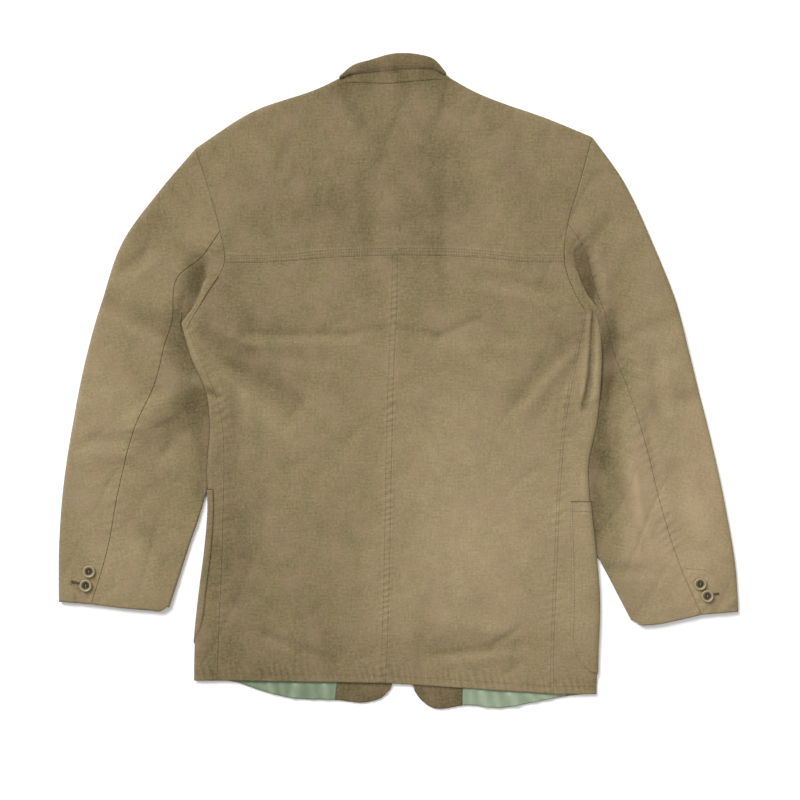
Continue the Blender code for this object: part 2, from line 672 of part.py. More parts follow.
def build_button(spot, size, seat, facing):
    """A turned button with a raised rim and a dished face; facing is 1 for up and -1 for down."""
    radius, height = size
    profile = (
        (0.84, 0.0),
        (1.0, 0.33),
        (1.0, 0.62),
        (0.9, 1.0),
        (0.74, 0.92),
        (0.6, 0.55),
    )
    angles = 2 * math.pi * np.arange(BUTTON_SIDES) / BUTTON_SIDES
    places = []
    for across, up in profile:
        for angle in angles:
            places.append((
                spot.x + radius * across * math.cos(angle),
                spot.y + radius * across * math.sin(angle),
                seat + facing * height * up,
            ))
    faces = [tuple(range(BUTTON_SIDES))]
    for ring in range(len(profile) - 1):
        for k in range(BUTTON_SIDES):
            here, there = ring * BUTTON_SIDES + k, ring * BUTTON_SIDES + (k + 1) % BUTTON_SIDES
            faces.append((here, there, there + BUTTON_SIDES, here + BUTTON_SIDES))
    faces.append(tuple((len(profile) - 1) * BUTTON_SIDES + k for k in range(BUTTON_SIDES)))
    solid(spot.name, np.array(places), faces, HORN)


def build_buttons():
    """Two buttons on each cuff, and the three that close the front."""
    around = np.linspace(0, 2 * math.pi, 24)
    for spot in CUFF_BUTTONS:
        reach = 2.5 * CUFF_BUTTON[0]
        ring = np.column_stack([spot.x + reach * np.cos(around), spot.y + reach * np.sin(around)])
        seat = max(upper_height(ring, "sleeve").max(), upper_height(np.array([[spot.x, spot.y]]), "sleeve")[0])
        build_button(spot, CUFF_BUTTON, seat + SEAM_GAP, 1)
    for spot in FRONT_BUTTONS:
        build_button(spot, FRONT_BUTTON, FRONT_BUTTON[1], -1)


for thing in list(bpy.data.objects):
    bpy.data.objects.remove(thing, do_unlink=True)
build_yoke()
for half in ("left", "right"):
    build_back(half)
    build_front(half)
    build_sleeve(half)
build_collar()
build_leaves()
build_buttons()
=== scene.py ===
"""Looks of a lined linen blazer that lies flat on its front, with its back up.

Fine cloth shells stand on the forms of the solids, with the coat's creases, seams, stitches and buttons.
X runs across the picture, Y runs up it towards the collar and Z rises from the table.  Left and right are
the picture's.  Plan sizes and heights are millimetres, and MM turns them into metres.
"""

import math
from collections import namedtuple

import bmesh
import bpy
import numpy as np
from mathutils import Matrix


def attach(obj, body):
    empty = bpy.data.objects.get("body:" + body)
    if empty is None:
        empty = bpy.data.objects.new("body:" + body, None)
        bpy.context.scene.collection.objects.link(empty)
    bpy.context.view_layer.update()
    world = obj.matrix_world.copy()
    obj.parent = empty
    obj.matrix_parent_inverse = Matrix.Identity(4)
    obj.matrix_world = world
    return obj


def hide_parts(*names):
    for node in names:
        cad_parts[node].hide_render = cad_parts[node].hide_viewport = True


MM = 0.001

CLOTH = 1.2  # thickness of the linen
SATIN = 1.0  # thickness of the lining and the facings
SEAM_GAP = 0.3  # air between neighbouring pieces
LOFT = 6.4  # usual height of the upper cloth above the table
BOTTOM = 0.5  # how softly the deepest troughs level out
LOWEST = 2.9  # height of the upper cloth in the deepest troughs
SIDE_ROLL = 7.0  # plan radius of the rolled edges of the body and shoulders
ROLL_SHARE = 0.32  # largest share of a wrapped strip that its rolled edge takes
SLEEVE_ROLL = 6.0  # plan radius of a sleeve's rolled outer edge
INNER_ROLL = 2.8  # plan radius of a sleeve's rolled inner edge
COLLAR_ROLL = 3.0  # plan radius of the collar's rolled top
COLLAR_DROP = 5.5  # height of the collar's rolled top from its lower to its upper side
ROLL_ANGLES = np.radians((-72, -54, -36, -18, 0, 18, 36, 54, 72))
MIDDLE = (-1.87, -1.03)  # middle of the outline, which is moved to the origin

ROW_FINE = 12  # fine rows to each row of a solid
COLUMN_FINE = 10  # fine columns to each column of a solid
FLOOR_FINE = 2  # columns of the cloth on the table to each column of a solid
FRONT_COLUMNS = 9  # columns across a front, and along a shoulder
NECK_COLUMNS = 6  # columns along the neck
EDGE_HOLD = 3  # power with which the shape of a panel's end fades towards its middle
STRIP_COLUMNS = 24  # fine columns across the part of a front that shows beside the side seam
HEM_CROWD = 1.2  # how much the columns of a front close up towards its rounded corner
FACING_COLUMNS = 33  # fine columns of a front that its facing covers
HEM_ROWS = 2  # rows of a front that its facing and lining cover
FACING_WAVE = 0.35  # height of the facings' waves at the hem
FACING_TURN = 0.75  # radians of those waves to a millimetre
FACING_ROWS = 14  # fine rows above the hem over which they level out
POCKET_COLUMN = 4  # column of a front where its pocket starts
TURN_ROWS = (6, 2, 0)  # rows of the cloth's inner side that show inside a turned edge
NARROW_TURN = (1, 0)  # the same for small pieces
TUCK_INSET = 1.0  # plan width of the bevel beside a seam
TUCK_SHARE = 1.05  # depth to which a seam sinks, in thicknesses of its cloth
PRESSED_SHARE = 0.6  # the same for the flatter seams of the body
SNUG = (4.6, 10.0)  # a sleeve's inner edge is drawn up to the body fully, and then less, over these gaps
SNUG_ROWS = (4.7, 5.3, 15.0, 16.0)  # rows from the cuff over which this comes, and over which it goes
TUCKED_UNDER = 0.5  # how far that edge goes under the body's rolled side
PIT_ROWS = 36  # rows of the flap that closes a side above the pit
FLAP_SETTLE = 6  # the flap comes down on the sleeve over its first rows, one in this many
LAPEL_REACH = (20.0, 34.0)  # a front is lifted fully, and then less, this far from a hidden leaf
BUTTON_REACH = (20.0, 42.0)  # the same for a front button
LEAF_SPOTS = (8, 4)  # rows and columns of the points of a hidden leaf from which its reach is measured
LEAF_FINE = (24, 12)  # fine rows and columns of a hidden leaf
ALL_SIDES = ("low", "high", "start", "end")  # names of the four sides of a grid
CURVE_STEPS = 16  # steps in each interval of a curve before its points are spaced
SEAM_FINE = 2  # steps of a seam's line to each row of a solid
YOKE_STEPS = 24  # steps along each half of the yoke seam's line
SHORTEST = 1e-9  # length that a vector has at least when it is divided by its length
WELD = 0.01  # points nearer to each other than this are joined
UPRIGHT = 0.1  # twice the plan area, in square millimetres, below which a face counts as upright

CUFF_BUTTON = (7.75, 3.0)  # radius and height
FRONT_BUTTON = (10.0, 2.6)
BUTTON_RINGS = 34  # rings of faces from the middle of a button's foot to the middle of its face
BUTTON_SIDES = 60  # faces round a button
SEAT_POINTS = 24  # points round a button's foot where it may touch the cloth
HOLE_OFFSET = 0.2  # distance of a thread hole from the button's middle, in radii
HOLE_SIZE = 0.13  # radius of a thread hole, in radii of the button
HOLE_RIM = 0.06  # width of a thread hole's sloping rim, in radii of the button
HOLE_DEPTH = 0.34  # depth of a thread hole, in button heights
HOLE_SHADE = 0.6  # how much darker a thread hole is painted than the face round it, painted shade in the hole
FACE_HEIGHT = 0.3  # height above which a button's rings belong to its face, in button heights
RIM_FADE = (0.45, 0.75)  # radii between which a button pales from its dish to its rim
THREAD_HEIGHT = 0.62  # height of the thread in a button's dish, in button heights
THREAD_SPAN = 3  # length of the thread across a button, in hole offsets

STITCH = (2.4, 0.36)  # length and half thickness of a stitch
STITCH_PITCH = 3.3  # distance from one stitch to the next
STITCH_FLAT = 0.25  # distance from a stitch's middle to where it thins, in stitch lengths
STITCH_LIFT = 0.2  # height of a stitch's middle above the cloth
STITCH_FADE = 0.6  # how pale the sewing thread is
DARK_THREAD_AND_MOUTH_SHADE = 0.1  # the same for the dark thread of the buttonholes, and for the line along each pocket's mouth, which is painted shade in the mouth's gap
BUTTON_FADE = 0.95  # the same for the thread of the buttons
THICK_THREAD = 0.5  # half thickness of the thread of buttons and buttonholes
PATH_STEP = 2.0  # plan distance between the points of a line that is laid on the cloth
HEM_STITCH = 10.0  # height of the hem's stitching above the hem
HEM_INSET = 4.0  # distance of that stitching's ends from the edges of the body

CAMERA_LENS = 85.0  # focal length
CAMERA_SPOT = (0.00187, -0.02397, 2.367)  # metres

# Sections across the body from hem to pit; steps is the number of rows up to the next section.
Section = namedtuple(
    "Section", "name steps left_y left_edge left_seam mid_y mid right_y right_seam right_edge"
)
BODY = (
    Section("hem", 2, -376, -258, -229, -379, -17.5, -393, 192.5, 246),
    Section("pocket foot", 3, -332, -257, -227, -333, -15.5, -346, 192.5, 247),
    Section("seat", 3, -270, -251, -224.5, -275, -13.5, -275, 195, 249),
    Section("hip", 3, -210, -243.5, -222, -216, -12.2, -215, 197.5, 244.5),
    Section("pocket mouth", 2, -160, -239.5, -221, -160, -11.2, -152, 200, 238),
    Section("waist", 3, -113, -241.5, -220, -113, -10.4, -110, 203, 236),
    Section("small of back", 2, -54, -238, -222.5, -54, -9, -52, 208, 247),
    Section("rib", 2, -18, -242, -231, -15, -8.2, -18, 213.5, 250.5),
    Section("chest", 2, 31, -262.5, -252, 30, -6.5, 33, 223.5, 253),
    Section("pit", 0, 66, -272.5, -266.5, 76, -4, 84.5, 233, 248.5),
)

# The seam round each armhole, from pit to shoulder, on the back and on the front.
Armhole = namedtuple("Armhole", "name back_steps back_x back_y front_steps front_x front_y")
ARMHOLES = {
    "left": (
        Armhole("pit", 2, -266.5, 66, 1, -270, 66),
        Armhole("notch", 2, -240, 111, 1, -240, 100),
        Armhole("yoke", 2, -219.5, 146, 1, -218, 140),
        Armhole("sleeve seam", 3, -224.5, 186, 2, -214, 186),
        Armhole("cap", 3, -236, 230, 2, -226, 238),
        Armhole("shoulder", 0, -255.5, 290, 0, -255.5, 290),
    ),
    "right": (
        Armhole("pit", 2, 233, 84.5, 1, 241.5, 85),
        Armhole("notch", 2, 221, 105, 1, 219, 106),
        Armhole("yoke", 2, 206, 147, 1, 203, 147),
        Armhole("sleeve seam", 3, 210, 195.5, 2, 201, 195),
        Armhole("cap", 3, 222, 237, 2, 213, 246),
        Armhole("shoulder", 0, 240.5, 304, 0, 240.5, 304),
    ),
}

# The free edge of the flap that closes each wrapped side above the pit, up to the armhole seam.
PIT_FLAPS = {
    "left": ((-273.4, 70.5), (-268.6, 78), (-256, 95.5), (-249.5, 111), (-243.5, 126), (-230, 132)),
    "right": ((249.5, 88), (243.5, 95), (234, 107.5), (227, 122), (220, 138), (209.5, 146)),
}

# Sections across each sleeve from cuff to head: its outer fold, its back seam and its inner fold.
Cut = namedtuple("Cut", "name steps outer_x outer_y seam_x seam_y inner_x inner_y")
SLEEVES = {
    "left": (
        Cut("cuff", 2, -427, -277.5, -386, -280.5, -288.5, -284.5),
        Cut("wrist", 3, -427, -215, -367, -217, -266.5, -216),
        Cut("forearm", 3, -421, -130, -352, -138, -243.5, -140),
        Cut("elbow", 2, -408, -47, -333, -64, -241.5, -80),
        Cut("mid", 2, -397, 10, -305, 0, -244.8, -16),
        Cut("upper", 2, -386, 55, -293, 48, -263, 30),
        Cut("pit", 2, -372, 102, -285.5, 72, -270.8, 60),
        Cut("hook", 2, -348, 171, -278, 128, -272.0, 68.5),
        Cut("cap", 2, -300, 238, -247, 155, -269.6, 72.2),
        Cut("head", 0, -255.5, 290, -224.5, 186, -266.0, 73.4),
    ),
    "right": (
        Cut("cuff", 2, 423.5, -290, 377.5, -293.5, 289.5, -301),
        Cut("wrist", 3, 420.5, -240, 353.5, -240, 263.5, -251),
        Cut("forearm", 3, 407.5, -160, 328, -162, 248.5, -221),
        Cut("elbow", 2, 390, -78, 308, -82, 242, -150),
        Cut("mid", 2, 373, -10, 285, -10, 241, -100),
        Cut("upper", 2, 360, 42, 267, 36, 250.8, -25),
        Cut("pit", 2, 348, 90, 258.5, 76, 251.2, 60),
        Cut("hook", 2, 318, 167, 243, 120, 247.6, 87.5),
        Cut("cap", 2, 277, 253, 230, 165, 243.6, 91.2),
        Cut("head", 0, 240.5, 304, 210, 195.5, 238.5, 92),
    ),
}
# The under sleeve's cuff edge between its back seam and its rounded inner corner.
CUFF_LINE = {
    "left": ((-350, -285), (-312, -288.2), (-298, -288.8)),
    "right": ((347.5, -300.6), (313.5, -306.5), (299, -306)),
}
UNDER_COLUMNS = 4  # armhole columns of the under sleeve from the yoke seam to the pit
UPPER_COLUMNS = 6  # armhole columns of the upper sleeve
FLOOR_UNDER = 1  # floor columns of a sleeve that belong to its under sleeve

# Seams and edges that cross the body, each from left to right or from hem to neck.
YOKE_SEAM = {
    "left": ((-219.5, 146), (-150, 147.5), (-87, 153), (-2, 156)),
    "right": ((-2, 156), (52, 155), (96, 153), (151, 147.5), (206, 147)),
}
SHOULDER = {
    "left": ((-255.5, 290), (-185, 335.5), (-96, 367.5), (-76, 377.5)),
    "right": ((240.5, 304), (191, 324.5), (83, 366), (56, 382)),
}
NECK = ((-47.5, 371.5), (-13, 370), (8, 372))
FRONT_HEM = {
    "left": (
        (-12, -387), (-23, -397.5), (-40, -403), (-80, -400.5),
        (-138, -397.5), (-176, -388), (-208, -377.5),
    ),
    "right": (
        (18, -389), (25, -399), (38, -409), (86, -407),
        (125, -410.5), (165, -404), (210, -395.5),
    ),
}
FRONT_EDGE = {
    "left": ((-12, -387), (-4, -362), (-2.5, -275), (-3, 60)),
    "right": ((18, -389), (13.5, -360), (12, -275), (12, 76)),
}

# Sections across the collar: the fall's lower edge and its rolled top.
CollarCut = namedtuple("CollarCut", "name x edge_y top_y")
COLLAR = (
    CollarCut("left end", -76, 377, 380.5),
    CollarCut("left bend", -59, 382, 394),
    CollarCut("left leaf", -38, 384.5, 400.5),
    CollarCut("middle", -4, 387.5, 409),
    CollarCut("right leaf", 23, 389, 407.5),
    CollarCut("right bend", 41, 388, 402.5),
    CollarCut("right end", 57.5, 380.8, 385),
)
FALL_THINNING = 0.55  # share of the cloth's thickness that the fall's pressed edge loses
FALL_POWER = 6  # power with which that loss comes on towards the edge
COLLAR_ROWS = 10  # fine rows across the collar's stand, and across its fall
COLLAR_STEPS = 3  # columns between two collar sections
STAND_REACH = 0.6  # how far the stand's ends go under the fall beyond the neck seam

# Hidden lapels and collar leaves, each from its inner lower corner round to its outer lower corner.
Leaf = namedtuple("Leaf", "name side inner_low inner_high outer_high outer_low")
LEAVES = (
    Leaf("lapel_left", "left", (-10, 82), (-58, 296), (-138, 282), (-22, 74)),
    Leaf("lapel_right", "right", (19, 92), (48, 296), (126, 282), (31, 84)),
    Leaf("collar_leaf_left", "left", (-60, 303), (-76, 352), (-116, 338), (-128, 296)),
    Leaf("collar_leaf_right", "right", (49, 303), (60, 356), (104, 342), (117, 296)),
)

# Each pocket covers some rows of its front and reaches over some fine columns of its wrapped side,
# where its lower corner is rounded over some rows.
Pocket = namedtuple("Pocket", "low_row high_row reach corner")
POCKETS = {"left": Pocket(2, 12, 9.6, 2.2), "right": Pocket(1, 11, 23.0, 2.3)}

Spot = namedtuple("Spot", "name x y")
CUFF_BUTTONS = (
    Spot("cuff_button_left_high", -388.5, -239.5),
    Spot("cuff_button_left_low", -392.5, -257),
    Spot("cuff_button_right_high", 375, -255),
    Spot("cuff_button_right_low", 384, -270),
)
FRONT_BUTTONS = (
    Spot("front_button_high", 27, 42),
    Spot("front_button_middle", 27, -66),
    Spot("front_button_low", 27, -174),
)

# Broad swells of the upper cloth, and its main folds; a fold with a negative rise is a trough.
Swell = namedtuple("Swell", "name x y reach_x reach_y rise")
SWELLS = (
    Swell("left shoulder", -225, 255, 55, 60, 3.0),
    Swell("right shoulder", 212, 265, 55, 60, 3.0),
    Swell("neck", -9, 375, 90, 35, 1.5),
    Swell("hem", -10, -395, 500, 45, -1.5),
    Swell("left seat", -120, -190, 80, 120, 1.0),
    Swell("right seat", 100, -210, 80, 120, 1.2),
)
Fold = namedtuple("Fold", "name layer x0 y0 x1 y1 half_width rise")
FOLDS = (
    Fold("left pit valley", "sleeve", -254, 140, -270, 82, 11, -3.5),
    Fold("right pit valley", "sleeve", 230, 152, 243, 100, 10, -3.5),
    Fold("left arm beside body", "sleeve", -278, 52, -248, -60, 17, -2.3),
    Fold("left arm below body", "sleeve", -240, -60, -245, -140, 12, -2.2),
    Fold("right arm beside body", "sleeve", 262, 60, 251, -100, 13, -2.3),
    Fold("right arm below body", "sleeve", 240, -100, 247, -215, 12, -2.2),
    Fold("left elbow trough", "sleeve", -250, -30, -310, -84, 16, -1.8),
    Fold("left elbow ridge", "sleeve", -262, -5, -325, -45, 16, 1.8),
    Fold("left upper arm trough", "sleeve", -368, 98, -296, 62, 15, -2.2),
    Fold("right arm ridge", "sleeve", 283, -55, 302, -215, 20, 2.4),
    Fold("right arm trough", "sleeve", 338, -60, 352, -190, 18, -1.8),
    Fold("left drag", "body", -236, 48, -145, -15, 17, -1.8),
    Fold("left drag ridge", "body", -225, 15, -150, -60, 18, 2.2),
    Fold("right drag", "body", 212, 45, 150, -20, 17, -1.8),
    Fold("back trough", "body", -180, 66, -60, 58, 14, -0.6),
    Fold("seat trough", "body", 42, -336, 150, -334, 15, -1.2),
    Fold("yoke drag left", "body", -68, 358, -35, 300, 14, -1.8),
    Fold("yoke ridge right", "body", 90, 330, 130, 200, 24, 1.6),
)

# Finer creases of the upper cloth, with the columns of the main folds.
CREASES = (
    Fold("left pit slit", "sleeve", -251, 138, -256, 118, 5.5, -3.1),
    Fold("left pit slit foot", "sleeve", -256, 118, -268, 84, 5, -3.1),
    Fold("right pit slit", "sleeve", 227, 144, 235, 122, 4.6, -3.6),
    Fold("right pit slit foot", "sleeve", 235, 124, 243, 102, 4, -3.4),
    Fold("right pit bank", "sleeve", 248, 150, 258, 104, 8, 1.4),
    Fold("right strip pleat", "body", 243, 84, 240.5, 26, 2.4, -3.4),
    Fold("right strip pleat middle", "body", 240.5, 26, 237.5, -6, 2.6, -3.6),
    Fold("right strip roll", "body", 247, 66, 245, -20, 4, 1.2),
    Fold("right strip pleat foot", "body", 237.5, -6, 232, -32, 3.8, -3.9),
    Fold("right strip lip", "body", 237, 76, 230, -14, 3.6, 1.3),
    Fold("left strip roll", "body", -264, 52, -240, -4, 5, 1.4),
    Fold("left strip pinch", "body", -242, -15, -229, -21, 4.2, -1.8),
    Fold("left strip pinch ridge", "body", -230, -2, -221, -22, 5, 1.2),
    Fold("left waist trough", "body", -205, -18, -202, -76, 8, -1.1),
    Fold("left waist ridge", "body", -190, -30, -186, -95, 9, 0.8),
    Fold("left drag high", "body", -222, 62, -172, 38, 9, 0.9),
    Fold("left drag low", "body", -205, 15, -150, -38, 8, -1.0),
    Fold("back cross crease", "body", -190, 59, -69, 57, 5, -0.7),
    Fold("back cross crease end", "body", -66, 58, -20, 65, 5, -0.6),
    Fold("right cross crease", "body", 4, 64, 46, 55, 5, -0.9),
    Fold("right cross crease rise", "body", 50, 55, 92, 73, 5, -0.8),
    Fold("right cross crease fall", "body", 98, 73, 140, 55, 7, -0.7),
    Fold("right cross ridge", "body", 60, 43, 140, 38, 9, 0.6),
    Fold("right hanging drag", "body", 52, 153, 56, 94, 8, -1.0),
    Fold("left hanging drag", "body", -40, 146, -38, 108, 7, -0.8),
    Fold("back cross ridge", "body", -187, 46, -55, 45, 6, 0.6),
    Fold("back second crease", "body", -184, 34, -92, 23, 8, -0.8),
    Fold("left drag crease", "body", -214, 20, -174, 2, 6, -0.7),
    Fold("left drag crease middle", "body", -172, 1, -128, -23, 7, -0.9),
    Fold("left drag crease end", "body", -125, -27, -139, -54, 8, -0.8),
    Fold("left back dent", "body", -98, -6, -60, -30, 16, -0.8),
    Fold("right blade trough", "body", 108, 130, 192, 112, 8, -1.0),
    Fold("right blade ridge", "body", 104, 114, 186, 94, 8, 0.8),
    Fold("right drag low", "body", 218, 18, 172, -46, 9, -0.9),
    Fold("right drag ridge", "body", 214, 32, 160, -32, 7, 0.9),
    Fold("right back ridge", "body", 60, 40, 128, 8, 13, 0.7),
    Fold("right seat ridge", "body", 56, -300, 132, -316, 12, 0.9),
    Fold("right hem drag", "body", 31, -288, 25, -362, 9, -0.9),
    Fold("right hem nick", "body", 133, -367, 146, -358, 4, -0.9),
    Fold("right seat crease", "body", 48, -343, 110, -336, 4, -1.3),
    Fold("right seat crease end", "body", 112, -335, 144, -314, 5, -1.1),
    Fold("right seat crease ridge", "body", 66, -353, 150, -342, 7, 0.9),
    Fold("left seat drag", "body", -165, -319, -90, -348, 7, -1.1),
    Fold("left seat drag ridge", "body", -160, -334, -100, -358, 7, 0.7),
    Fold("left hem drag", "body", -96, -306, -74, -362, 10, -0.7),
    Fold("middle seat dent", "body", -62, -196, -48, -262, 14, -0.6),
    Fold("yoke upright trough", "body", -44, 238, -37, 174, 10, -1.0),
    Fold("yoke upright ridge", "body", -26, 244, -20, 180, 9, 0.6),
    Fold("yoke left crease", "body", -181, 328, -171, 304, 6, -1.0),
    Fold("yoke left drag", "body", -137, 301, -151, 266, 8, -1.0),
    Fold("yoke left dent", "body", -190, 252, -160, 226, 13, -0.7),
    Fold("yoke right dent", "body", 140, 262, 172, 232, 13, -0.8),
    Fold("yoke right drag", "body", 60, 345, 40, 312, 8, -0.8),
    Fold("yoke right upright", "body", 46, 232, 52, 176, 9, -0.8),
    Fold("left cap trough", "sleeve", -341, 141, -321, 159, 7, -1.2),
    Fold("left cap ridge", "sleeve", -330, 126, -306, 146, 8, 0.9),
    Fold("left cap drag", "sleeve", -300, 196, -262, 150, 10, -1.0),
    Fold("left upper ridge", "sleeve", -366, 78, -300, 44, 9, 1.3),
    Fold("left arm dent", "sleeve", -352, 22, -316, -12, 13, -0.9),
    Fold("left forearm trough", "sleeve", -382, -75, -336, -74, 8, -1.1),
    Fold("left forearm ridge", "sleeve", -390, -92, -342, -96, 9, 0.9),
    Fold("left wrist dent", "sleeve", -322, -190, -292, -222, 12, -0.9),
    Fold("left elbow crease", "sleeve", -236, -22, -289, -86, 7, -0.9),
    Fold("left elbow nick", "sleeve", -268, -48, -300, -58, 5, -1.2),
    Fold("left vent edge", "sleeve", -409, -256, -391, -272, 2.2, -2.2),
    Fold("left cuff nick", "sleeve", -405, -273, -402, -280, 2.2, -1.0),
    Fold("right cap drag", "sleeve", 258, 196, 236, 164, 9, -1.0),
    Fold("right cap ridge", "sleeve", 282, 176, 262, 130, 11, 0.9),
    Fold("right arm hollow", "sleeve", 262, 40, 252, -40, 10, -1.4),
    Fold("right seam pucker high", "sleeve", 267, 54, 285, 47, 3.6, -0.55),
    Fold("right seam pucker next", "sleeve", 270, 41, 291, 33, 3.6, -0.55),
    Fold("right seam pucker middle", "sleeve", 275, 25, 296, 17, 3.8, -0.55),
    Fold("right seam pucker low", "sleeve", 281, 8, 301, 0, 3.8, -0.55),
    Fold("right arm crease", "sleeve", 280, -134, 306, -204, 7, -1.2),
    Fold("right forearm dent", "sleeve", 264, -236, 300, -238, 8, -1.1),
    Fold("right arm cross", "sleeve", 300, 62, 352, 82, 10, -1.0),
    Fold("right long trough high", "sleeve", 317, 22, 321, -36, 8, -1.2),
    Fold("right long ridge high", "sleeve", 334, 16, 339, -44, 8, 0.9),
    Fold("right long trough low", "sleeve", 308, -52, 323, -126, 6, -1.1),
    Fold("right long ridge low", "sleeve", 293, -112, 301, -166, 7, 1.2),
    Fold("right inner trough", "sleeve", 266, -106, 285, -150, 7, -1.2),
    Fold("right elbow dent", "sleeve", 330, -30, 372, -18, 12, -0.8),
    Fold("right cuff flare", "sleeve", 408, -284, 420, -274, 5, 1.0),
)

# Random unevenness of the cloth: the width and length of its bumps, their turn and their height.
# Where sharp isn't 0 they are narrow creases, the narrower the higher it is.
Crumple = namedtuple("Crumple", "name width length turn rise sharp")
CRUMPLES = (
    Crumple("rolling", 74, 74, 0.5, 0.8, 0),
    Crumple("soft", 33, 33, 1.1, 0.5, 0),
    Crumple("crisp", 14, 14, 2.0, 0.28, 0),
    Crumple("drags", 42, 95, 0.45, -0.9, 5),
    Crumple("cross drags", 38, 80, -1.1, -0.6, 5),
    Crumple("crinkles", 20, 38, -0.5, -0.45, 4),
)
FOLD_END = 1.8  # length of a fold's ends, in half widths
FOLD_GAIN = 1.4  # how much stronger the folds are than those of the solids
LATTICE = 61  # random values along each side of a crumple's lattice
CREASE_STRETCH = 0.6  # size of the random creases beside that of the areas where they come and go
CREASE_SHARE = 0.4  # how strong random creases are on average
CREASE_SWING = 1.6  # how much stronger or weaker they are from area to area

# Seams that stand up beside their line, on its left, and gather the cloth in small waves.
Seam = namedtuple("Seam", "name layer band rise gather wave reach")
SEAMS = (
    Seam("yoke", "body", 10.0, 0.5, 0.3, 13, 13),
    Seam("middle", "body", 8.0, 0.45, 0.5, 8, 7),
    Seam("left side", "body", 4.5, 0.25, 0.35, 11, 10),
    Seam("right side", "body", 4.5, 0.25, 0.35, 11, 10),
    Seam("hem", "body", 0.0, 0.0, 1.15, 8.5, 10),
    Seam("left sleeve", "sleeve", 0.0, 0.0, 0.38, 12, 11),
    Seam("right sleeve", "sleeve", 0.0, 0.0, 0.42, 11, 12),
)
BAND_FALL = 2.5  # plan width over which a raised band falls off
WAVE_DRIFT = 1.65  # how much the waves of a gathered seam wander, in radians
LONG_DRIFT = 23.0  # distance along the seam over which they wander
SHORT_DRIFT = 8.7  # the same for a quicker part of it
WAVE_SLANT = 0.35  # how far the waves slant along the seam with the distance from it
SIZE_SWING = 0.3  # how much the waves grow and shrink
SIZE_DRIFT = 19.0  # distance along the seam over which they do

# Where the linen is painted paler, above zero, or deeper, below zero: faded cloth mixed with painted
# light, brighter towards the lower right, and painted shade at the pits and beside the body.
Tone = namedtuple("Tone", "name layer x y reach_x reach_y fade")
TONES = (
    # Paler towards the lower right: painted light, partly faded cloth.
    Tone("right seat", "body", 105, -190, 120, 210, 0.38),
    Tone("right forearm", "sleeve", 350, -150, 85, 180, 0.54),
    Tone("right cap", "sleeve", 300, 130, 60, 110, 0.10),
    Tone("right flank", "body", 225, -150, 34, 220, 0.19),
    Tone("left outer arm", "sleeve", -395, -20, 70, 210, 0.26),
    Tone("left cuff", "sleeve", -340, -220, 70, 90, 0.16),
    Tone("left cap", "sleeve", -300, 170, 70, 90, 0.02),
    Tone("left flank", "body", -215, -230, 42, 210, -0.20),
    Tone("left hem", "body", -110, -362, 150, 42, -0.12),
    Tone("collar", "body", -8, 392, 130, 34, -0.31),
    Tone("yoke", "body", -10, 250, 190, 90, -0.12),
    # Deeper on the sleeve beside the body: painted shade.
    Tone("left inner arm", "sleeve", -262, 22, 24, 65, -0.20),
    Tone("left back", "body", -120, -60, 110, 150, 0.07),
    Tone("left blade", "body", -222, 60, 40, 60, -0.12),
    Tone("left strip", "body", -258, 24, 8, 50, 0.16),
    # Deeper on the right sleeve beside the body: painted shade.
    Tone("right inner arm", "sleeve", 262, 38, 17, 70, -0.26),
    Tone("right elbow", "sleeve", 262, -110, 26, 100, -0.33),
    Tone("right strip", "body", 247, 20, 7, 70, 0.16),
    # Dark spots in the pit creases: painted shade.
    Tone("left pit", "sleeve", -251.5, 128, 7, 14, -0.75),
    Tone("left pit foot", "sleeve", -258.5, 104, 6, 16, -0.62),
    Tone("right pit", "sleeve", 229, 140, 7, 14, -0.68),
    Tone("right pit foot", "sleeve", 237, 116, 5.5, 15, -0.68),
)
PLAIN_FADE = 0.465  # fade of the linen away from these places
RELIEF_SHADE = 0.046  # how much a millimetre of relief pales the cloth: wear on the ridges, painted shade in the troughs
DEEP_CREASE_SHADE = 0.012  # how much more painted shade darkens creases deeper than a millimetre
DEEPEST = 0.03  # lowest fade of the linen
INSIDE_SHADE_TONE = 0.15  # tone of the facings and of the hidden leaves, kept deep as painted shade under the hem
LINING_TONE_AND_SHEEN = {"left": 0.30, "right": 0.66}  # tone of each lining where it lies flat; the right one is painted paler, a painted sheen
LINING_FOLD_HIGHLIGHT = 0.28  # how much a millimetre of its folds pales the lining, a painted highlight on the folds
LINING_FREE = 5.0  # plan distance from the hem over which the lining's folds come up

# Fields for the flat cut of a piece of cloth: its name and slot, its width and length in metres, its area
# in square metres, and what it rests on.
Cloth = namedtuple("Cloth", "name slot width length area rests_on")
# How far the grain of the sleeves is turned from the body's, in radians.
GRAIN_TURN = {
    "upper_sleeve_left": -0.2,
    "under_sleeve_left": -0.2,
    "upper_sleeve_right": 0.23,
    "under_sleeve_right": 0.23,
}

# Colours of the materials, from deep to pale.
LINEN_TONES = ((0.058, 0.043, 0.017), (0.145, 0.115, 0.056), (0.246, 0.184, 0.106))
LINEN_PINK = (0.186, 0.125, 0.078)
MINT_TONES = ((0.062, 0.092, 0.050), (0.122, 0.160, 0.096), (0.190, 0.235, 0.155))
HORN_TONES = ((0.020, 0.013, 0.006), (0.085, 0.064, 0.028), (0.225, 0.182, 0.098))
# The thread is darker than the linen: partly its colour, partly painted shade of the needle holes.
THREAD_AND_NEEDLE_SHADE_TONES = ((0.030, 0.022, 0.009), (0.190, 0.148, 0.084))
FLOOR_TONES = ((0.76, 0.76, 0.755), (0.80, 0.80, 0.795))
FLOOR_SIZE = 6.0  # metres
FLOOR_CELLS = 8  # faces along each side of the floor
FLOOR_DROP = 0.4  # depth of the floor below the cloth that lies on it
FLOOR_NOISE = 3.0  # bumps of the floor's mottling to a metre

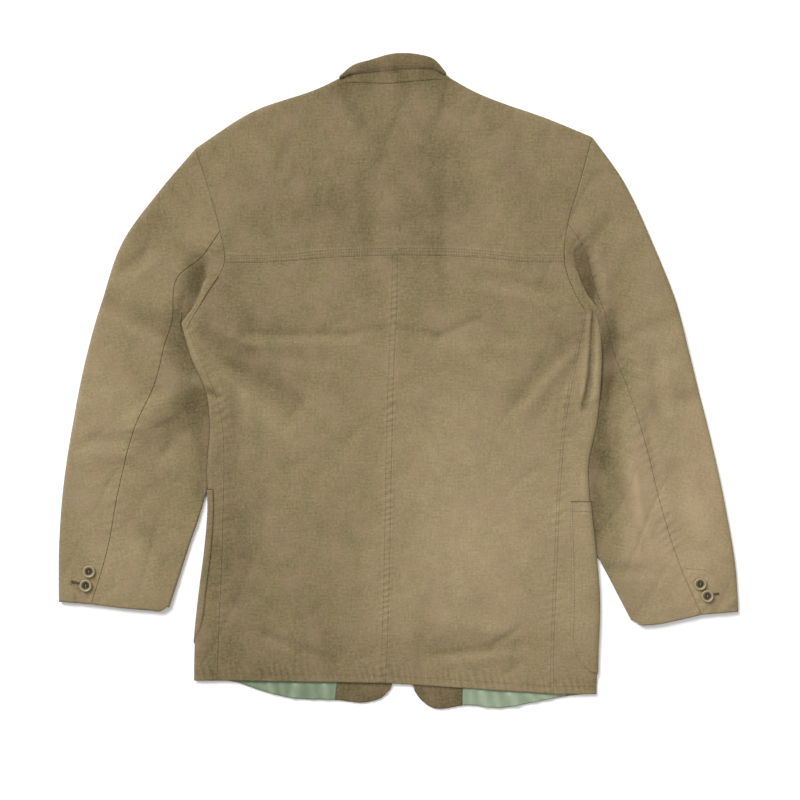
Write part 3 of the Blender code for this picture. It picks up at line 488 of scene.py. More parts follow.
# Noises of the materials: the size of their bumps across and along the grain, their detail, and how much
# they swing the tone, the roughness and the relief.
Speckle = namedtuple("Speckle", "name across along detail tone rough relief")
LINEN_SPECKLES = (
    Speckle("warp", 2.2, 15, 2, 0.22, 0, 0.5),
    Speckle("weft", 17, 2.2, 2, 0.27, 0.2, 0.5),
    Speckle("fleck", 3.2, 2.6, 3, 0.5, 0, 0),
    Speckle("mottle", 22, 26, 4, 0.17, 0, 0),
    Speckle("patch", 75, 85, 2, 0.2, 0, 0),
    Speckle("slub", 5, 5, 3, 0, 0, 0.7),
)
SATIN_SPECKLES = (
    Speckle("thread", 0.9, 30, 2, 0.16, 0.2, 0.3),
    Speckle("cloud", 12, 18, 3, 0.5, 0, 1.0),
)
HORN_SPECKLES = (
    Speckle("streak", 0.7, 4, 3, 0.3, 0, 1.0),
    Speckle("cloud", 3.5, 3, 3, 0.35, 0.15, 0),
)
THREAD_SPECKLES = (
    Speckle("twist", 0.5, 0.5, 2, 0.5, 0.2, 0),
    Speckle("length", 25, 25, 2, 0.4, 0, 0),
)
# Pink areas of the linen: width, length and detail of their noise, and the part of it that shows.
BLUSH_NOISE = (30, 44, 4)
BLUSH_RANGE = {"From Min": 0.42, "From Max": 0.85, "To Max": 0.5}

# Soft lamps, in metres and watts, all turned towards the middle of the coat.
Lamp = namedtuple("Lamp", "name x y z size power")
LAMPS = (
    Lamp("key", -4.0, 4.8, 5.0, 5.0, 1240.0),
    Lamp("fill", 2.2, -1.6, 3.6, 2.4, 70.0),
)
SKY = 0.44  # strength of the light from all round

# Slack folds of the lining below the hem, with the columns of the main folds.
LINING_FOLDS = (
    Fold("left corner", "lining", -186, -380, -170, -386, 4, 0.7),
    Fold("left first", "lining", -163, -374, -160, -394, 4, 1.4),
    Fold("left second", "lining", -149, -376, -145, -398, 3.5, 0.9),
    Fold("left middle", "lining", -128, -374, -134, -400, 5, 1.7),
    Fold("left fourth", "lining", -112, -376, -110, -402, 3.5, 1.0),
    Fold("left last", "lining", -95, -374, -92, -402, 4.5, 1.6),
    Fold("left rim", "lining", -83, -376, -82, -402, 2, 0.9),
    Fold("right rim", "lining", 88, -386, 89, -410, 2, 0.9),
    Fold("right first", "lining", 101, -386, 108, -412, 4.5, 1.7),
    Fold("right second", "lining", 118, -388, 124, -412, 3.5, 1.1),
    Fold("right middle", "lining", 136, -388, 146, -410, 5, 1.9),
    Fold("right fourth", "lining", 158, -390, 170, -404, 3.5, 1.2),
    Fold("right last", "lining", 172, -390, 186, -400, 4, 1.3),
)

# Rows of topstitching beside the seams: the piece they are on and the distance from the seam to its left.
StitchRow = namedtuple("StitchRow", "piece seam layer offset")
STITCH_ROWS = (
    StitchRow("yoke", "yoke", "body", 2.4),
    StitchRow("yoke", "yoke", "body", 5.6),
    StitchRow("yoke", "yoke", "body", 9.4),
    StitchRow("back_left", "middle", "body", 7.5),
    StitchRow("back_right", "right side", "body", 4.2),
    StitchRow("back_right", "hem", "body", 0.0),
)
# Short sewn bars at the tops of the sleeve vents, and the buttonholes.
Bar = namedtuple("Bar", "piece x0 y0 x1 y1")
BARS = (
    Bar("upper_sleeve_left", -394, -227.5, -372, -224),
    Bar("upper_sleeve_right", 357, -235.5, 382, -237.5),
)
BUTTONHOLES = (
    Bar("upper_sleeve_left", -410.5, -251.5, -400, -254.5),
    Bar("upper_sleeve_right", 391.5, -268, 398.5, -267),
)
# First column of a pocket that is wrapped up over the side.
SHOWN_COLUMN = (FRONT_COLUMNS - POCKET_COLUMN) * FLOOR_FINE + 1
POCKET_STITCH_COLUMN = -3  # column of a pocket, from its free edge, that is stitched
COLLAR_STITCH_COLUMN = -4  # the same for the collar's fall
COLLAR_STITCH_ENDS = 3  # rows at each end of the fall that aren't stitched
MOUTH_ROWS = 8  # fine rows from a pocket's mouth to the stitching of its hem
MOUTH_SHADE_STROKE = (2.6, 0.5)  # length and half thickness of the dark strokes along a pocket's mouth, a painted shadow line
HOLE_STITCH = 4.2  # length of the stitches across a buttonhole
HOLE_STITCHES = 14  # number of stitches across a buttonhole

# Half section of a button from the middle of its foot to the middle of its face, in radii and heights.
BUTTON_PROFILE = (
    (0.02, 0.0),
    (0.84, 0.0),
    (1.0, 0.33),
    (1.0, 0.62),
    (0.93, 0.93),
    (0.86, 1.0),
    (0.76, 0.93),
    (0.6, 0.58),
    (0.5, 0.52),
    (0.02, 0.5),
)


def arc_lengths(line):
    """Length along a line up to each of its points."""
    return np.concatenate([[0], np.cumsum(np.linalg.norm(np.diff(line, axis=0), axis=1))])


def resampled(line, count, crowd=1.0, start=0.0, finish=0.0):
    """Points along a line that is cut short at its ends, closer to its start for a crowd above 1."""
    line = np.asarray(line, float)
    length = arc_lengths(line)
    places = start + (length[-1] - start - finish) * np.linspace(0, 1, count + 1) ** crowd
    return np.column_stack([np.interp(places, length, line[:, axis]) for axis in range(line.shape[1])])


def smooth(points, steps):
    """Points on a smooth curve through the given points, with some steps in each interval."""
    knots = np.array(points, float)
    counts = [steps] * (len(knots) - 1) if np.isscalar(steps) else steps
    chord = np.linalg.norm(np.diff(knots, axis=0), axis=1)[:, None]
    slope = np.diff(knots, axis=0) / chord
    inside = (slope[:-1] * chord[1:] + slope[1:] * chord[:-1]) / (chord[:-1] + chord[1:])
    tangent = np.vstack([slope[:1], inside, slope[-1:]])
    curve = [knots[:1]]
    for start, count in enumerate(counts[: len(chord)]):
        t = np.arange(1, count + 1)[:, None] / count
        rise = t * t * (3 - 2 * t)
        leave = t * (1 - t) ** 2 * chord[start]
        arrive = t * t * (t - 1) * chord[start]
        held = knots[start] * (1 - rise) + knots[start + 1] * rise
        curve.append(held + tangent[start] * leave + tangent[start + 1] * arrive)
    return np.vstack(curve)


def spread(points, count, crowd=1.0):
    """Points spaced along a smooth curve through some points, closer to its start for a crowd above 1."""
    return resampled(smooth(points, CURVE_STEPS), count, crowd)


def coons(bottom, top, left, right):
    """The plan grid that fills four edges, with rows from bottom to top."""
    u = np.linspace(0, 1, len(bottom))[None, :, None]
    v = np.linspace(0, 1, len(left))[:, None, None]
    ruled = (1 - u) * left[:, None] + u * right[:, None]
    low = bottom - ((1 - u) * bottom[0] + u * bottom[-1])
    high = top - ((1 - u) * top[0] + u * top[-1])
    return ruled + (1 - v) ** EDGE_HOLD * low + v**EDGE_HOLD * high


def unit(vectors):
    """Vectors of length one; a vector of no length stays as it is."""
    return vectors / np.maximum(np.linalg.norm(vectors, axis=-1, keepdims=True), SHORTEST)


def normals(edge, sign):
    """Unit plan normals of an edge, turned to its left for sign 1 and to its right for sign -1."""
    run = unit(np.gradient(edge, axis=0))
    return sign * np.column_stack([-run[:, 1], run[:, 0]])


def eased(share):
    """A share from 0 to 1 that leaves and arrives softly."""
    share = np.clip(share, 0, 1)
    return share * share * (3 - 2 * share)


def nearest(plan, line):
    """Distance of plan points from a line, below zero on its right, and the length along it there."""
    points = plan.reshape(-1, 1, 2)
    step = np.diff(line, axis=0)
    size = np.linalg.norm(step, axis=1)
    gap = points - line[:-1]
    share = np.clip((gap * step).sum(axis=-1) / size**2, 0, 1)
    off = np.linalg.norm(gap - share[..., None] * step, axis=-1)
    best = off.argmin(axis=1)
    rows = np.arange(len(best))
    side = np.sign(step[best, 0] * gap[rows, best, 1] - step[best, 1] * gap[rows, best, 0])
    along = arc_lengths(line)[best] + share[rows, best] * size[best]
    return (side * off[rows, best]).reshape(plan.shape[:-1]), along.reshape(plan.shape[:-1])


def ridge(x, y, fold):
    """How much of a fold's rise reaches each point."""
    along_x, along_y = fold.x1 - fold.x0, fold.y1 - fold.y0
    length = math.hypot(along_x, along_y)
    share = ((x - fold.x0) * along_x + (y - fold.y0) * along_y) / length**2
    across = ((x - fold.x0) * along_y - (y - fold.y0) * along_x) / length
    beyond = np.maximum(np.abs(share - 0.5) - 0.5, 0) * length
    return np.exp(-(across**2 + (beyond / FOLD_END) ** 2) / fold.half_width**2)


def bumps(across, up, seed):
    """Smooth random bumps between -1 and 1, one long and wide."""
    values = np.random.default_rng(seed).uniform(-1, 1, (LATTICE, LATTICE))
    column, row = np.floor(across).astype(int), np.floor(up).astype(int)
    u, v = eased(across - column), eased(up - row)
    total = np.zeros(across.shape)
    for beside, share_u in ((0, 1 - u), (1, u)):
        for above, share_v in ((0, 1 - v), (1, v)):
            total += values[(row + above) % LATTICE, (column + beside) % LATTICE] * share_u * share_v
    return total


def crumpled(x, y, crumple, seed):
    """Height of one kind of random unevenness."""
    cosine, sine = math.cos(crumple.turn), math.sin(crumple.turn)
    across = (x * cosine - y * sine) / crumple.width
    up = (x * sine + y * cosine) / crumple.length
    bump = bumps(across, up, seed)
    if crumple.sharp:
        areas = bumps(across * CREASE_STRETCH, up * CREASE_STRETCH, seed + len(CRUMPLES))
        strength = eased(CREASE_SHARE + CREASE_SWING * areas)
        bump = (1 - np.abs(bump)) ** crumple.sharp * strength
    return crumple.rise * bump


def broad_height(plan):
    """Height of the upper cloth without its folds."""
    x, y = plan[..., 0], plan[..., 1]
    height = np.full(x.shape, LOFT)
    for swell in SWELLS:
        away = ((x - swell.x) / swell.reach_x) ** 2 + ((y - swell.y) / swell.reach_y) ** 2
        height += swell.rise * np.exp(-away)
    return height


def seam_relief(plan, layer):
    """Raised bands beside the seams, and the waves that their sewing gathers."""
    height = np.zeros(plan.shape[:-1])
    for seam in SEAMS:
        if seam.layer != layer:
            continue
        away, along = nearest(plan, SEAM_LINES[seam.name])
        band = eased(away / BAND_FALL + 1) * eased((seam.band - away) / BAND_FALL + 1)
        drift = np.sin(along / LONG_DRIFT) + np.sin(along / SHORT_DRIFT + 1)
        wave = np.cos(2 * math.pi * (along + WAVE_SLANT * away) / seam.wave + WAVE_DRIFT * drift)
        size = 1 - SIZE_SWING + SIZE_SWING * np.sin(along / SIZE_DRIFT + 2)
        near = np.exp(-(((away - seam.band / 2) / seam.reach) ** 2))
        height += seam.rise * band + seam.gather * size * wave * near
    return height


def upper_height(plan, layer):
    """Height of the upper side of the upper cloth over each plan point."""
    x, y = plan[..., 0], plan[..., 1]
    height = broad_height(plan) + seam_relief(plan, layer)
    for fold in FOLDS + CREASES:
        if fold.layer == layer:
            height += FOLD_GAIN * fold.rise * ridge(x, y, fold)
    for seed, crumple in enumerate(CRUMPLES):
        height += crumpled(x, y, crumple, seed)
    return LOWEST + BOTTOM * np.logaddexp(0, (height - LOWEST) / BOTTOM)


def raised(plan, height):
    """Plan points with a height each."""
    return np.concatenate([plan, np.broadcast_to(height, plan.shape[:-1])[..., None]], axis=-1)


def upper(plan, layer):
    """Outer and inner points of the upper cloth over a plan."""
    height = upper_height(plan, layer)
    return raised(plan, height), raised(plan, height - CLOTH)


def lower(plan, lift):
    """Outer and inner points of the cloth that lies on the table."""
    return raised(plan, lift), raised(plan, np.asarray(lift) + CLOTH)


def roll(edge, inward, radius, low, high, angles=ROLL_ANGLES):
    """Outer and inner points of a rolled edge, a column for each roll angle."""
    radius = np.broadcast_to(radius, len(edge))[:, None]
    middle, half = (low + high) / 2, (high - low) / 2
    outer, inner = [], []
    for angle in angles:
        back = 1 - math.cos(angle)
        outer.append(raised(edge + inward * radius * back, middle + half * math.sin(angle)))
        inside = CLOTH + (radius - CLOTH) * back
        inner.append(raised(edge + inward * inside, middle + (half - CLOTH) * math.sin(angle)))
    return np.stack(outer, axis=1), np.stack(inner, axis=1)


def joined(*sides):
    """Outer and inner grids set side by side."""
    return tuple(np.concatenate([side[k] for side in sides], axis=1) for k in (0, 1))


def facing_side(grid, side):
    """The grid turned so that the named side is its first row; turning twice gives the grid back."""
    if side == "high":
        return grid[::-1]
    if side == "start":
        return grid.transpose(1, 0, 2)
    if side == "end":
        return grid[::-1, ::-1].transpose(1, 0, 2)
    return grid


def cut_short(grid, reach):
    """The grid with as many columns, up to its own column number in each row."""
    columns = np.linspace(0, reach, grid.shape[1], axis=1)
    low = np.minimum(columns.astype(int), grid.shape[1] - 2)
    share = (columns - low)[..., None]
    row = np.arange(len(grid))[:, None]
    return grid[row, low] * (1 - share) + grid[row, low + 1] * share


def edged(outer, inner, turned=(), tucked=(), depth=TURN_ROWS, sink=TUCK_SHARE):
    """The outer grid with its free edges turned under and its seam edges sunk."""
    for side in tucked:
        rows, under = facing_side(outer, side), facing_side(inner, side)
        sunk = rows[:1] + (under[:1] - rows[:1]) * sink
        step = rows[1:2] - rows[:1]
        length = np.linalg.norm(step, axis=-1, keepdims=True)
        shoulder = rows[:1] + unit(step) * np.minimum(TUCK_INSET, length / 2)
        outer = facing_side(np.concatenate([sunk, shoulder, rows[1:]]), side)
        inner = facing_side(np.concatenate([under[:1], under]), side)
    for side in turned:
        rows, under = facing_side(outer, side), facing_side(inner, side)
        inside = under[list(depth)]
        outer = facing_side(np.concatenate([inside, rows]), side)
        inner = facing_side(np.concatenate([inside, under]), side)
    return outer


def fade_and_shade_at(places, layer, inside):
    """How pale the cloth is painted at each point: faded places, painted light and shade from the tones
    and from the relief, and for an inside layer its even tone.
    """
    plan = places[:, :2]
    if inside is not None:
        # An inside layer has an even tone; a lining is painted paler on its folds, a painted highlight.
        return inside + LINING_FOLD_HIGHLIGHT * lining_folds(plan) * (layer == "lining")
    fade = np.full(len(plan), PLAIN_FADE)
    for tone in TONES:
        if tone.layer != layer:
            continue
        away = ((plan[:, 0] - tone.x) / tone.reach_x) ** 2 + ((plan[:, 1] - tone.y) / tone.reach_y) ** 2
        fade += tone.fade * np.exp(-away)
    # Painted shade in the troughs and paler ridges, from the cloth's relief.
    relief = upper_height(plan, layer) - broad_height(plan)
    relief_shade = RELIEF_SHADE * relief - DEEP_CREASE_SHADE * np.minimum(relief + 1, 0) ** 2
    return np.maximum(fade + np.where(places[:, 2] > LOWEST - BOTTOM, relief_shade, 0), DEEPEST)


def mesh_object(name, places, faces, fade, material, turn=0.0, closed=True):
    """A smooth mesh object with its tone, from faded cloth and from painted light and shade, and its
    grain, from points in millimetres.
    """
    middle = np.array([*MIDDLE, 0])
    mesh = bpy.data.meshes.new(name)
    mesh.from_pydata((places - middle) * MM, [], faces)
    mesh.polygons.foreach_set("use_smooth", np.ones(len(mesh.polygons), bool))
    mesh.attributes.new("fade", "FLOAT", "POINT").data.foreach_set("value", fade.astype(np.float32))
    shape = bmesh.new()
    shape.from_mesh(mesh)
    bmesh.ops.remove_doubles(shape, verts=shape.verts, dist=WELD * MM)
    if closed:
        bmesh.ops.recalc_face_normals(shape, faces=shape.faces)
    shape.to_mesh(mesh)
    shape.free()
    corners = np.empty(len(mesh.loops), np.int32)
    mesh.loops.foreach_get("vertex_index", corners)
    spots = np.empty(3 * len(mesh.vertices), np.float32)
    mesh.vertices.foreach_get("co", spots)
    across, up = spots.reshape(-1, 3)[corners, :2].T
    cosine, sine = math.cos(turn), math.sin(turn)
    grain = np.column_stack([across * cosine - up * sine, across * sine + up * cosine])
    mesh.uv_layers.new(name="grain").data.foreach_set("uv", grain.ravel())
    mesh.materials.append(material)
    thing = bpy.data.objects.new(name, mesh)
    bpy.context.scene.collection.objects.link(thing)
    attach(thing, "root")
    return thing


def grid_faces(rows, columns, first=0):
    """Corner numbers of a grid's faces, where its points are numbered from first."""
    corner = first + np.arange(rows * columns).reshape(rows, columns)
    faces = np.stack([corner[:-1, :-1], corner[:-1, 1:], corner[1:, 1:], corner[1:, :-1]], axis=-1)
    return faces.reshape(-1, 4)


def turned_out(faces, places):
    """Faces of one grid, in the order that turns its highest part upwards."""
    corners = places[faces]
    upward = np.cross(corners[:, 2] - corners[:, 0], corners[:, 3] - corners[:, 1])[:, 2]
    height = np.where(np.abs(upward) > UPRIGHT, corners[..., 2].mean(axis=1), -1)
    return faces if upward[height.argmax()] > 0 else faces[:, ::-1]


def cloth(name, grids, layer="body", inside=None):
    """A piece of cloth from grids of points, in place of its solid; inside, if given, is an even tone,
    painted shade on the facings and a painted sheen on the right lining.
    """
    places = np.concatenate([grid.reshape(-1, 3) for grid in grids])
    places[:, 2] = np.maximum(places[:, 2], 0)
    faces = []
    first = 0
    for grid in grids:
        rows, columns = grid.shape[:2]
        faces.extend(turned_out(grid_faces(rows, columns, first), places).tolist())
        first += rows * columns
    fade = fade_and_shade_at(places, layer, inside)
    material = MATERIALS["satin" if name.startswith("lining") else "linen"]
    turn = GRAIN_TURN.get(name, 0.0)
    thing = mesh_object(name + "_cloth", places, faces, fade, material, turn, closed=False)
    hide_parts(name)


def sewn(name, paths, spacing=STITCH_PITCH, size=STITCH, fade=STITCH_FADE):
    """One mesh of all the stitches along some paths on the cloth; the painted shadow lines along the
    pocket mouths are made with it too.
    """
    length, half = size
    ring = half * np.array(((0, 1, 0), (0, 0, 1), (0, -1, 0), (0, 0, -1)))
    bend = np.array((STITCH_FLAT * length, 0, 0))
    foot = np.array((0.5 * length, 0, 0))
    stitch = np.vstack([(0, 0, -half) - foot, ring - bend, ring + bend, (0, 0, -half) + foot])
    sides, last = len(ring), len(stitch) - 1
    places, faces = [], []
    for path in paths:
        count = max(1, round(arc_lengths(path)[-1] / spacing))
        stations = resampled(path, 2 * count)
        for middle, way in zip(stations[1::2], stations[2::2] - stations[:-1:2]):
            run = way / np.linalg.norm(way)
            aside = unit(np.array((-run[1], run[0], 0.0)))
            rise = np.cross(run, aside)
            first = len(places)
            places.extend(middle + stitch @ np.array((run, aside, rise)))
            for k in range(sides):
                here, there = first + 1 + k, first + 1 + (k + 1) % sides
                faces.append((first, there, here))
                faces.append((here, there, there + sides, here + sides))
                faces.append((here + sides, there + sides, first + last))
    places = np.array(places) + np.array((0, 0, STITCH_LIFT))
    thing = mesh_object(name, places, faces, np.full(len(places), fade), MATERIALS["thread"])
    return thing


def offset_line(line, distance):
    """A line moved to its left."""
    return line + normals(line, 1) * distance


def on_cloth(line, layer):
    """A plan line laid on the upper cloth."""
    fine = resampled(line, max(2, round(arc_lengths(line)[-1] / PATH_STEP)))
    return raised(fine, upper_height(fine, layer))


def body_line(y_field, x_field, fine=ROW_FINE):
    """A line up the body through all its sections."""
    points = [(getattr(row, x_field), getattr(row, y_field)) for row in BODY]
    return smooth(points, [row.steps * fine for row in BODY])


def armhole_line(side, fine):
    """The back's armhole seam of one side from pit to shoulder."""
    rows = ARMHOLES[side]
    return smooth([(row.back_x, row.back_y) for row in rows], [row.back_steps * fine for row in rows])


def sleeve_line(side, line, fine=ROW_FINE):
    """One line down a sleeve, from cuff to head."""
    rows = SLEEVES[side]
    points = [(getattr(row, line + "_x"), getattr(row, line + "_y")) for row in rows]
    return smooth(points, [row.steps * fine for row in rows])


def shoulder_roll(side):
    """Edge and inward directions of a shoulder's roll, from shoulder point to neck."""
    edge = spread(SHOULDER[side], FRONT_COLUMNS * COLUMN_FINE)
    inward = normals(edge, -1 if side == "left" else 1)
    arm = armhole_line(side, ROW_FINE)
    way = (resampled(arm, 1, finish=SIDE_ROLL)[-1] - edge[0]) / SIDE_ROLL
    turned = eased(1 - np.arange(len(edge)) / (2 * COLUMN_FINE))[:, None]
    return edge, inward * (1 - turned) + way * turned


def side_roll(side):
    """Edge, inward directions, radii and inner line of the roll down one side of the body."""
    edge = body_line(side + "_y", side + "_edge")
    seam = body_line(side + "_y", side + "_seam")
    inward = unit(seam - edge)
    radius = np.minimum(SIDE_ROLL, ROLL_SHARE * np.linalg.norm(seam - edge, axis=1))
    return edge, inward, radius, edge + inward * radius[:, None]


def front_armhole(side, fine):
    """The front armhole from the side's roll to the shoulder's roll."""
    rows = ARMHOLES[side]
    points = [(row.front_x, row.front_y) for row in rows]
    edge, inward = shoulder_roll(side)
    points[0] = side_roll(side)[3][-1]
    points[-1] = edge[0] + inward[0] * SIDE_ROLL
    return smooth(points, [row.front_steps * fine for row in rows])


def floor_plan(side, fine):
    """Plan grid of a front's table side, from its opening to the side's roll."""
    columns = FRONT_COLUMNS * fine
    start = side_roll(side)[3]
    armhole = front_armhole(side, ROW_FINE)
    edge, inward = shoulder_roll(side)
    top = resampled((edge + inward * SIDE_ROLL)[::-1], columns)
    hem = spread((*FRONT_HEM[side], start[0]), columns, HEM_CROWD)
    lapel_line = np.linspace(FRONT_EDGE[side][-1], top[0], len(armhole))
    opening = np.vstack([spread(FRONT_EDGE[side], len(start) - 1), lapel_line[1:]])
    return coons(hem, top, opening, np.vstack([start, armhole[1:]]))


def leaf_grid(leaf, rows, columns):
    """Plan grid of a hidden lapel or collar leaf."""
    bottom = np.linspace(leaf.inner_low, leaf.outer_low, columns + 1)
    top = np.linspace(leaf.inner_high, leaf.outer_high, columns + 1)
    left = np.linspace(leaf.inner_low, leaf.inner_high, rows + 1)
    right = np.linspace(leaf.outer_low, leaf.outer_high, rows + 1)
    return coons(bottom, top, left, right)


def covered_lift(plan, side):
    """How far a front is lifted by the lapel, leaf and buttons that lie under it."""
    lift = np.zeros(plan.shape[:-1])
    for leaf in LEAVES:
        if leaf.side == side:
            spots = leaf_grid(leaf, *LEAF_SPOTS).reshape(-1, 2)
            gap = np.linalg.norm(plan[..., None, :] - spots, axis=-1).min(axis=-1)
            share = (LAPEL_REACH[1] - gap) / (LAPEL_REACH[1] - LAPEL_REACH[0])
            lift = np.maximum(lift, (CLOTH + SEAM_GAP) * eased(share))
    if side == "right":
        for spot in FRONT_BUTTONS:
            gap = np.hypot(plan[..., 0] - spot.x, plan[..., 1] - spot.y)
            share = (BUTTON_REACH[1] - gap) / (BUTTON_REACH[1] - BUTTON_REACH[0])
            lift = np.maximum(lift, (FRONT_BUTTON[1] + SEAM_GAP) * eased(share))
    return lift


def neck_seam():
    """The yoke's neck edge between its two shoulders."""
    rolls = [shoulder_roll(side) for side in ("left", "right")]
    left, right = (edge[-1] + inward[-1] * SIDE_ROLL for edge, inward in rolls)
    return spread((left, *NECK, right), NECK_COLUMNS * COLUMN_FINE)


def hem_line():
    """The back's hem across both halves and both wrapped strips."""
    hem = BODY[0]
    return np.array((
        (hem.left_edge + HEM_INSET, hem.left_y),
        (hem.left_seam, hem.left_y),
        (hem.mid, hem.mid_y),
        (hem.right_seam, hem.right_y),
        (hem.right_edge - HEM_INSET, hem.right_y),
    ))


def build_back(side):
    """One half of the back, from hem to yoke seam."""
    flank = body_line(side + "_y", side + "_seam")
    rows = UNDER_COLUMNS * ROW_FINE
    arm = armhole_line(side, ROW_FINE)[1 : rows + 1]
    middle = body_line("mid_y", "mid")
    above = np.linspace(middle[-1], YOKE_SEAM["left"][-1], rows + 1)[1:]
    flank, middle = np.vstack([flank, arm]), np.vstack([middle, above])
    columns = (FRONT_COLUMNS + NECK_COLUMNS // 2) * COLUMN_FINE
    left, right = (flank, middle) if side == "left" else (middle, flank)
    hem = np.linspace(left[0], right[0], columns + 1)
    plan = coons(hem, spread(YOKE_SEAM[side], columns), left, right)
    seams = ("high", "start", "end")
    cloth("back_" + side, [edged(*upper(plan, "body"), turned=("low",), tucked=seams, sink=PRESSED_SHARE)])


def build_yoke():
    """The yoke, with a roll over each shoulder that ends at the shoulder seam on the table side."""
    half = (FRONT_COLUMNS + NECK_COLUMNS // 2) * COLUMN_FINE
    bottom = np.vstack([spread(YOKE_SEAM["left"], half), spread(YOKE_SEAM["right"], half)[1:]])
    rolls = {side: shoulder_roll(side) for side in SHOULDER}
    starts = {side: edge + inward * SIDE_ROLL for side, (edge, inward) in rolls.items()}
    top = np.vstack([starts["left"], neck_seam()[1:-1], starts["right"][::-1]])
    arms = []
    for side in ("left", "right"):
        arm = armhole_line(side, ROW_FINE)[UNDER_COLUMNS * ROW_FINE :]
        arms.append(resampled(arm, len(arm) - 1, finish=SIDE_ROLL))
    plan = coons(bottom, top, *arms)
    grids = [edged(*upper(plan, "body"), tucked=("low", "start", "end"), sink=PRESSED_SHARE)]
    for side, (edge, inward) in rolls.items():
        low = covered_lift(starts[side], side)
        high = upper_height(starts[side], "body")
        angles = np.concatenate([[-math.pi / 2], ROLL_ANGLES, [math.pi / 2]])
        grids.append(roll(edge, inward, SIDE_ROLL, low, high, angles)[0])
    cloth("yoke", grids)


def pit_flap(side, last):
    """The rounded end of a wrapped side above its last row, which lies on the sleeve beside the pit."""
    outer = spread((last[0, :2], *PIT_FLAPS[side]), PIT_ROWS)
    seam = armhole_line(side, ROW_FINE)
    reach = nearest(outer[-1:], seam)[1][0]
    inner = resampled(seam, PIT_ROWS, finish=arc_lengths(seam)[-1] - reach)
    across = np.linalg.norm(last[:, :2] - last[0, :2], axis=1)
    across = (across / across[-1])[:, None]
    plan = outer[:, None] * (1 - across) + inner[:, None] * across
    profile = (last[:, 2] - last[0, 2]) / (last[-1, 2] - last[0, 2])
    low = upper_height(outer, "sleeve")[:, None] + SEAM_GAP
    high = upper_height(inner, "body")[:, None]
    resting = np.maximum(low + (high - low) * profile, upper_height(plan, "sleeve") + CLOTH)
    share = eased(np.linspace(0, FLAP_SETTLE, PIT_ROWS + 1))[:, None]
    return raised(plan, last[:, 2] * (1 - share) + resting * share)


def pocket_rows(side):
    """The fine rows of a front that its pocket covers."""
    pocket = POCKETS[side]
    return slice(pocket.low_row * ROW_FINE, pocket.high_row * ROW_FINE + 1)


def front_sides(side):
    """Outer and inner grids of a front's table side, and of its wrapped side up to the side seam."""
    edge, inward, radius, start = side_roll(side)
    seam = body_line(side + "_y", side + "_seam")
    plan = floor_plan(side, FLOOR_FINE)
    lift = covered_lift(plan, side)
    lift[pocket_rows(side), POCKET_COLUMN * FLOOR_FINE :] = CLOTH + SEAM_GAP
    low = lift[: len(edge), -1]
    foot = lower(start[:, None], low[:, None])
    rolled = roll(edge, inward, radius, low, upper_height(start, "body"))
    strip = upper(np.linspace(start, seam, STRIP_COLUMNS + 1, axis=1), "body")
    return lower(plan, lift), joined(foot, rolled, strip)


def build_front(side, floor, wrapped):
    """A front, whose wrapped side ends in a flap above the pit."""
    grids = [edged(*floor, turned=("low", "start"))]
    grids.append(edged(*wrapped, turned=("low",), tucked=("end",), sink=PRESSED_SHARE))
    grids.append(pit_flap(side, wrapped[0][-1, 1 + len(ROLL_ANGLES) // 2 :]))
    cloth("front_" + side, grids)


def build_pocket(side, floor, wrapped):
    """A patch pocket that reaches round onto the wrapped side of its front; gives its outer grid."""
    pocket = POCKETS[side]
    rows = pocket_rows(side)
    above = np.arange(rows.stop - rows.start)
    corner = np.clip(above / (pocket.corner * ROW_FINE), 0, 1)
    reach = SHOWN_COLUMN + pocket.reach * np.sqrt(1 - (1 - corner) ** 2)
    under = [grid[rows, POCKET_COLUMN * FLOOR_FINE :] for grid in floor]
    shown = [grid[rows, 1:] for grid in wrapped]
    outer, inner = (cut_short(grid, reach) for grid in joined(under, shown))
    out = unit(outer - inner)
    bag, touching = outer + out * (SEAM_GAP + CLOTH), outer + out * SEAM_GAP
    cloth("pocket_" + side, [edged(bag, touching, ALL_SIDES, ("low", "high", "end"), NARROW_TURN)])
    return bag


def inside_layer(plan, waves):
    """A facing or lining that lies on a front in waves, with its free edges turned."""
    height = CLOTH + SEAM_GAP + SATIN + waves
    outer, inner = raised(plan, height), raised(plan, height - SATIN)
    return edged(outer, inner, ("low", "start", "end"), depth=NARROW_TURN)


def build_linings(side):
    """The facing and the lining of a front near its hem."""
    plan = floor_plan(side, COLUMN_FINE)[: HEM_ROWS * ROW_FINE + 1]
    facing = plan[:, : FACING_COLUMNS + 1]
    fall_off = eased(1 - np.arange(len(plan)) / FACING_ROWS)[:, None]
    waves = FACING_WAVE * np.cos(facing[..., 0] * FACING_TURN) * fall_off
    cloth("facing_" + side, [inside_layer(facing, waves)], inside=INSIDE_SHADE_TONE)
    lining = plan[:, FACING_COLUMNS : (FRONT_COLUMNS - 1) * COLUMN_FINE + 1]
    cloth("lining_" + side, [inside_layer(lining, lining_folds(lining))], "lining", LINING_TONE_AND_SHEEN[side])


def lining_folds(plan):
    """Height that the lining's slack folds add to it."""
    height = np.zeros(plan.shape[:-1])
    for fold in LINING_FOLDS:
        height += fold.rise * ridge(plan[..., 0], plan[..., 1], fold)
    hem = hem_line()
    below = np.interp(plan[..., 0], hem[:, 0], hem[:, 1]) - plan[..., 1]
    return height * eased(below / LINING_FREE)


